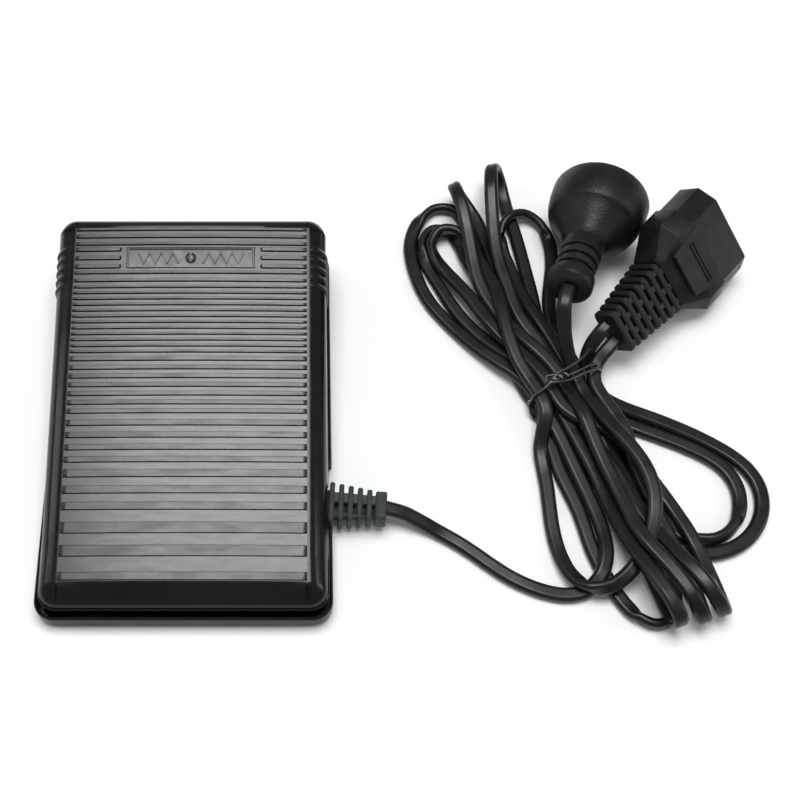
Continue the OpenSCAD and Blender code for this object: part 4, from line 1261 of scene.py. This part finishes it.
def make_strain_relief():
    """Tapering comb of ribs with an end block, joined by a spine along the top, over a dark core."""
    frame_at = Matrix.Translation(RELIEF_AT) @ Matrix.Rotation(RELIEF_YAW, 4, "Z")
    shapes = []
    for i in range(RELIEF_RIBS + 1):
        f = i / RELIEF_RIBS
        half_w = (15.3 - 4.5 * f) / 2 + RELIEF_SAG
        half_h = (11 - 2 * f) / 2 + RELIEF_SAG
        outline = offset_loop(half_w * MM, half_h * MM, 1.6 * MM, -RELIEF_SAG * MM, -RELIEF_SAG * MM)
        start = i * RELIEF_PITCH + RELIEF_START_X
        span = (start, start + RELIEF_RIB_T) if i < RELIEF_RIBS else (RELIEF_BLOCK_X, RELIEF_END_X)
        shapes.append(block(frame_at, *span, outline, 0.45 * MM))
    core_loop = offset_loop(3.7 * MM, 1.6 * MM, 1.4 * MM, 0, -1.1 * MM)
    core = add_piece("gland_core", *block(frame_at, -0.5 * MM, 20 * MM, core_loop, 0.2 * MM),
                     MATERIALS["foot_rubber"], "base", "foot_rubber")
    spine = []
    for x, shrink in ((-0.3, 0.0), (0.2, 0.0), (21.5, 0.9), (21.9, 0.9)):
        loop = [(-0.7, 1.6), (-0.7, 4.2), (-0.4, 4.6), (3.0, 4.6), (3.7, 4.0), (3.9, 0.0)]
        spine.append([frame_at @ (Vector((x, y - shrink * 0.4 * (y > 2), z - shrink * (z > 2))) * MM)
                      for y, z in loop])
    shapes.append(lofted(spine))
    low_bridge = [[frame_at @ (Vector((x, y, z)) * MM) for y, z in
                   [(-5.4 + t, -3.6 + t), (-2.2, -3.6 + t), (-2.2, 0.6 - t), (-5.4 + t, 0.6 - t)]]
                  for x, t in ((0.3, 0.0), (21.0, 1.3))]
    shapes.append(lofted(low_bridge))
    here = Matrix.Translation(Vector((0, RELIEF_AT.y, RELIEF_AT.z)))
    head, neck = rounded_loop(7 * MM, 4.7 * MM, 1 * MM, 5), rounded_loop(5 * MM, 3 * MM, 0.8 * MM, 5)
    shapes.append(block(here, 46.2 * MM, 48.7 * MM, head, 0.3 * MM))
    shapes.append(block(here, 48.4 * MM, 56.2 * MM, neck, 0.1 * MM))
    verts, faces = joined(shapes)
    obj = add_piece("lead_gland", verts, faces, MATERIALS["relief_rubber"], "base", "relief_rubber",
                    ("strain_relief",), 40)
    return obj, core


# ---------------------------------------------------------------- plug
PLUG_FACE = Vector((175.5, 102.2, 20.78)) * MM
PLUG_LIFT = math.radians(10)
PLUG_TURN = math.radians(22.5)
PLUG_SLOT_X = 20.4


def plug_frame():
    axis = Vector((-math.sin(PLUG_TURN) * math.cos(PLUG_LIFT), -math.cos(PLUG_TURN) * math.cos(PLUG_LIFT),
                   math.sin(PLUG_LIFT)))
    side = Vector((0, 0, 1)).cross(axis).normalized()
    up = axis.cross(side)
    turn = Matrix((side, up, axis)).transposed().to_4x4()
    return Matrix.Translation(PLUG_FACE) @ turn


def make_plug():
    """Bell with a crease below its shoulder, a cone, a neck with three grooves and an end flange."""
    profile = [(0.9, 0.5), (0.9, 17.5), (0.5, 18.3), (0, 18.9), (0, 20.0), (0.35, 20.7), (1.1, 21.0),
               (4, 21.0), (8, 20.85), (12, 20.3), (15, 19.4), (17.0, 18.5), (17.35, 18.15),
               (17.9, 17.5), (20, 15.9), (23, 13.7), (26, 11.6), (28, 10.3), (29.2, 9.6), (29.8, 9.0),
               (30.2, 8.7)]
    neck = [(36.2, 8.55), (36.6, 8.2), (36.75, 7.4), (37.6, 7.3), (38.1, 7.4), (38.3, 8.2), (38.8, 8.6),
            (41.2, 8.5), (41.6, 8.1), (41.75, 7.2), (42.6, 7.1), (43.1, 7.2), (43.3, 8.1), (43.8, 8.5),
            (46.0, 8.4), (46.4, 8.0), (46.55, 7.1), (47.4, 7.0), (47.9, 7.1), (48.1, 8.0), (48.6, 8.6),
            (49.6, 9.3), (50.6, 9.6), (54.8, 9.6), (55.5, 9.3), (55.9, 8.6), (55.95, 4.0), (55.2, 3.6),
            (55.2, 0.5)]
    points = [(a * MM, r * MM) for a, r in profile + neck]
    verts, faces = lathed(points, plug_frame(), 96)
    obj = add_piece("plug_body", verts, faces, BELL_GRAIN, "base", "moulded_black", ("mains_plug",), 34)
    for x in (-PLUG_SLOT_X, PLUG_SLOT_X):
        low, high = Vector((x - 1.2, -5, 2.2)) * MM, Vector((x + 1.2, 5, 3.0)) * MM
        cut(obj, *box_shape(low, high, plug_frame()))
    smooth_by_angle(obj, 34)
    return obj


# ---------------------------------------------------------------- connector
CONNECTOR_END = Vector((173.5, 36.2, 19.35)) * MM
CONNECTOR_TURN = math.radians(47)
CONNECTOR_ROLL = math.radians(42)
BOOT_L = 32
NOSE_AT = 54.4
MOUTH_AT = 71
EDGE_W = 6.5
EDGE_H = 5.85
SOCKET_SIDES = (-9, 0, 9)


def connector_frame():
    turn = Matrix.Rotation(CONNECTOR_TURN, 4, "Z") @ Matrix.Rotation(CONNECTOR_ROLL, 4, "X")
    return Matrix.Translation(CONNECTOR_END) @ turn


def sloped_loop(half_w, half_h, edge=1.0):
    """Section of the connector, with its four long edges cut off at a slope."""
    w, h = EDGE_W * edge, EDGE_H * edge
    return [(half_w, half_h - h), (half_w - w, half_h), (w - half_w, half_h), (-half_w, half_h - h),
            (-half_w, h - half_h), (w - half_w, -half_h), (half_w - w, -half_h), (half_w, h - half_h)]


def make_connector_body():
    """Shouldered block with sloped long edges, a raised panel with two grooves, and three bores."""
    # distance from the cable end, half width, half height and size of the sloped edges
    stations = [(BOOT_L - 0.6, 12.6, 7.8, 0.4), (BOOT_L, 13.0, 8.2, 0.4), (34, 14.6, 9.0, 0.5),
                (43, 22.0, 11.3, 1.0), (43.6, 22.5, 11.5, 1.0), (53.8, 22.5, 11.5, 1.0),
                (NOSE_AT, 22.0, 11.2, 1.0), (NOSE_AT + 0.05, 21.5, 11.0, 1.0), (70.2, 21.5, 11.0, 1.0),
                (MOUTH_AT, 20.8, 10.3, 1.0)]
    here = connector_frame()
    rings = [[here @ (Vector((x, y, z)) * MM) for y, z in sloped_loop(half_w, half_h, edge)]
             for x, half_w, half_h, edge in stations]
    verts, faces = lofted(rings)
    obj = add_piece("connector_shell", verts, faces, MATERIALS["moulded_black"], "base", "moulded_black",
                    ("connector_body",), 25)
    bevelled(obj, 0.7 * MM, 3, 20)
    applied(obj)
    for y in SOCKET_SIDES:
        bore = here @ Matrix.Translation(Vector((MOUTH_AT - 12, y, 0)) * MM)
        bore = bore @ Matrix.Rotation(math.pi / 2, 4, "Y")
        cut(obj, *lathed([(0, 2.2 * MM), (14 * MM, 2.2 * MM)], bore, 36))
    smooth_by_angle(obj, 28)
    pad_rings = []
    for z, shrink in ((10.4, 0.0), (11.7, 0.0), (12.0, 0.35)):
        pad_rings.append([here @ (Vector(p) * MM) for p in
                          [(36.6 + shrink, -9.5 + shrink, z), (NOSE_AT - 0.6 - shrink, -14 + shrink, z),
                           (NOSE_AT - 0.6 - shrink, 14 - shrink, z), (36.6 + shrink, 11 - shrink, z)]])
    pad_verts, pad_faces = lofted(pad_rings)
    pad = add_piece("connector_pad", pad_verts, pad_faces, MATERIALS["moulded_black"], "base",
                    "moulded_black")
    for x in (45.6, 47.4):
        cut(pad, *box_shape(Vector((x, -9.5, 11.45)) * MM, Vector((x + 0.7, 10.0, 13)) * MM, here))
    bevelled(pad, 0.25 * MM, 2)
    return obj, pad


def make_connector_boot():
    """Comb of rounded cross ribs on a core, with bridges that leave staggered slots between them."""
    ribs, pitch = 8, 4.0
    here = connector_frame()
    shapes = []
    for i in range(ribs):
        f = i / (ribs - 1)
        half_w = (20 + 5 * f) / 2
        half_h = (11.5 + 4 * f) / 2
        start = i * pitch
        long = 2.7 if i else 3.0
        loop = rounded_loop(half_w * MM, half_h * MM, 2.0 * MM, 5)
        shapes.append(block(here, start * MM, (start + long) * MM, loop, 0.6 * MM))
        core = rounded_loop((half_w - 3.2) * MM, (half_h - 2.4) * MM, 1.2 * MM, 5)
        shapes.append(block(here, (start + 0.5) * MM, (start + pitch + 0.6) * MM, core, 0.1 * MM))
        if i == ribs - 1:
            places = (-0.7, 0.0, 0.7)
        else:
            places = (-0.42, 0.42) if i % 2 else (-0.86, 0.0, 0.86)
        for place in places:
            y = place * (half_w - 1.3)
            bridge = offset_loop(1.3 * MM, (half_h - 0.25) * MM, 0.4 * MM, y * MM)
            rings = [[here @ Vector((x * MM, p, q)) for p, q in bridge]
                     for x in (start + 1.0, start + pitch + 0.8)]
            shapes.append(lofted(rings))
    verts, faces = joined(shapes)
    return add_piece("connector_sleeve", verts, faces, MATERIALS["moulded_black"], "base", "moulded_black",
                     ("connector_boot",), 40)


# ---------------------------------------------------------------- wire tie
WIRE_R = 0.55 * MM


def tube(points, radius, sides=12):
    """A round wire along the points, with round ends."""
    line = spline(points, 0.7 * MM)
    along = directions(line)
    side = np.cross(along[0], (0.3, 0.2, 1.0))
    side /= np.linalg.norm(side)
    rings = []
    for k, (p, d) in enumerate(zip(line, along)):
        side = side - d * (side @ d)
        side /= np.linalg.norm(side)
        up = np.cross(d, side)
        r = radius * (0.55 if k in (0, len(line) - 1) else 1.0)
        rings.append([Vector(p + (side * math.cos(a) + up * math.sin(a)) * r)
                      for a in (2 * math.pi * i / sides for i in range(sides))])
    return lofted(rings)


def tie_point(u, d, z):
    """A point at the tie: across the bundle, along it and up, in millimetres."""
    c, s = math.cos(TIE_TURN), math.sin(TIE_TURN)
    return Vector((TIE_AT.x / MM + u * c - d * s, TIE_AT.y / MM + u * s + d * c, z)) * MM


def make_tie():
    """Wire wrapped twice round the waist of the bundle, its ends twisted together on top."""
    wraps = [(-15.8, 0, 7), (-15.2, 0.3, 3), (-12.5, 0.6, 0.75), (0, 0.8, 0.7), (12.5, 0.8, 0.75),
             (15.6, 0.8, 3), (16.2, 1.0, 8), (15.4, 1.2, 13), (12.0, 1.2, 16), (6, 0.4, 16.8),
             (0, 0.6, 16.4), (-4.0, 2.6, 16.6), (-7.4, 3.6, 16.0), (-8.3, 1.8, 15.8),
             (-6.0, -0.2, 16.6), (0, -1.6, 16.4), (8, -1.6, 17), (13, -1.4, 15.8), (15.8, -1.2, 12),
             (16.2, -1.2, 7), (15.4, -1.2, 2.6), (12.5, -1.0, 0.75), (0, -0.9, 0.7),
             (-12.5, -0.9, 0.75), (-15.4, -1.0, 3), (-16.0, -1.0, 8), (-14.8, -0.8, 13),
             (-11.0, -0.6, 15.2), (-6.5, 0.8, 16.6)]
    long_end = [(-6.5, 0.8, 16.6), (-3, 2.6, 17.6), (2, 3.2, 17.4), (7, 4.2, 17.4), (12, 6.2, 16.2),
                (16, 8.6, 14.6)]
    hanging = [(-15.8, 0, 7), (-16.2, -1.4, 5.6), (-16.6, -4.0, 3.6), (-15.6, -6.6, 1.4),
               (-14.2, -7.6, 0.8)]
    shapes = [tube([tie_point(*p) for p in line], WIRE_R) for line in (wraps, long_end, hanging)]
    twist = []
    for i in range(17):
        a = i * math.pi / 3
        twist.append((-6.5 + i * 0.45, 0.8 + 0.85 * math.cos(a), 17.2 + 0.75 * math.sin(a)))
    shapes.append(tube([tie_point(*p) for p in twist], WIRE_R))
    verts, faces = joined(shapes)
    return add_piece("wire_tie", verts, faces, MATERIALS["black_steel"], "base", "black_steel",
                     ("twist_tie",), 60)


# ---------------------------------------------------------------- floor and light
def make_stage():
    size = 3.0
    mesh = bpy.data.meshes.new("floor")
    corners = [(-size, -size, 0), (size, -size, 0), (size, size, 0), (-size, size, 0)]
    mesh.from_pydata(corners, [], [(0, 1, 2, 3)])
    floor = bpy.data.objects.new("floor", mesh)
    floor.location.z = -0.1 * MM
    mesh.materials.append(FLOOR_WHITE)
    bpy.context.collection.objects.link(floor)


def area_light(name, at, towards, size, power, colour=(1, 1, 1)):
    data = bpy.data.lights.new(name, "AREA")
    data.shape = "RECTANGLE"
    data.size, data.size_y = size
    data.energy = power
    data.color = colour
    light = bpy.data.objects.new(name, data)
    light.location = at
    light.rotation_euler = (Vector(towards) - Vector(at)).to_track_quat("-Z", "Y").to_euler()
    bpy.context.collection.objects.link(light)
    return light


def make_lights():
    """A wide softbox overhead, weak fills from the right and the left, and a grey room."""
    area_light("overhead", (0.05, 0.12, 1.30), (0.05, 0.02, 0), (0.75, 0.60), 14.5)
    area_light("right_fill", (1.30, -0.10, 0.70), (0.05, 0, 0), (0.3, 0.9), 3.0)
    area_light("left_fill", (-1.20, 0.20, 0.80), (0.0, 0, 0), (0.3, 0.9), 2.5)
    world = bpy.data.worlds.new("room")
    world.use_nodes = True
    world.node_tree.nodes["Background"].inputs["Color"].default_value = (0.93, 0.96, 1.0, 1)
    world.node_tree.nodes["Background"].inputs["Strength"].default_value = 0.30
    bpy.context.scene.world = world
    bpy.context.scene.view_settings.view_transform = "Standard"


make_camera()
LEADS = make_leads(MATERIALS["lead_sheath"])
dress_cad_nodes()
make_tray()
make_tray_inside()
make_springs()
make_cover()
make_cover_ribs()
make_cover_underside()
make_name_plate()
make_plate_screw()
GLAND, GLAND_CORE = make_strain_relief()
PLUG = make_plug()
CONNECTOR_SHELL, CONNECTOR_PAD = make_connector_body()
BOOT = make_connector_boot()
TIE = make_tie()
make_stage()
make_lights()
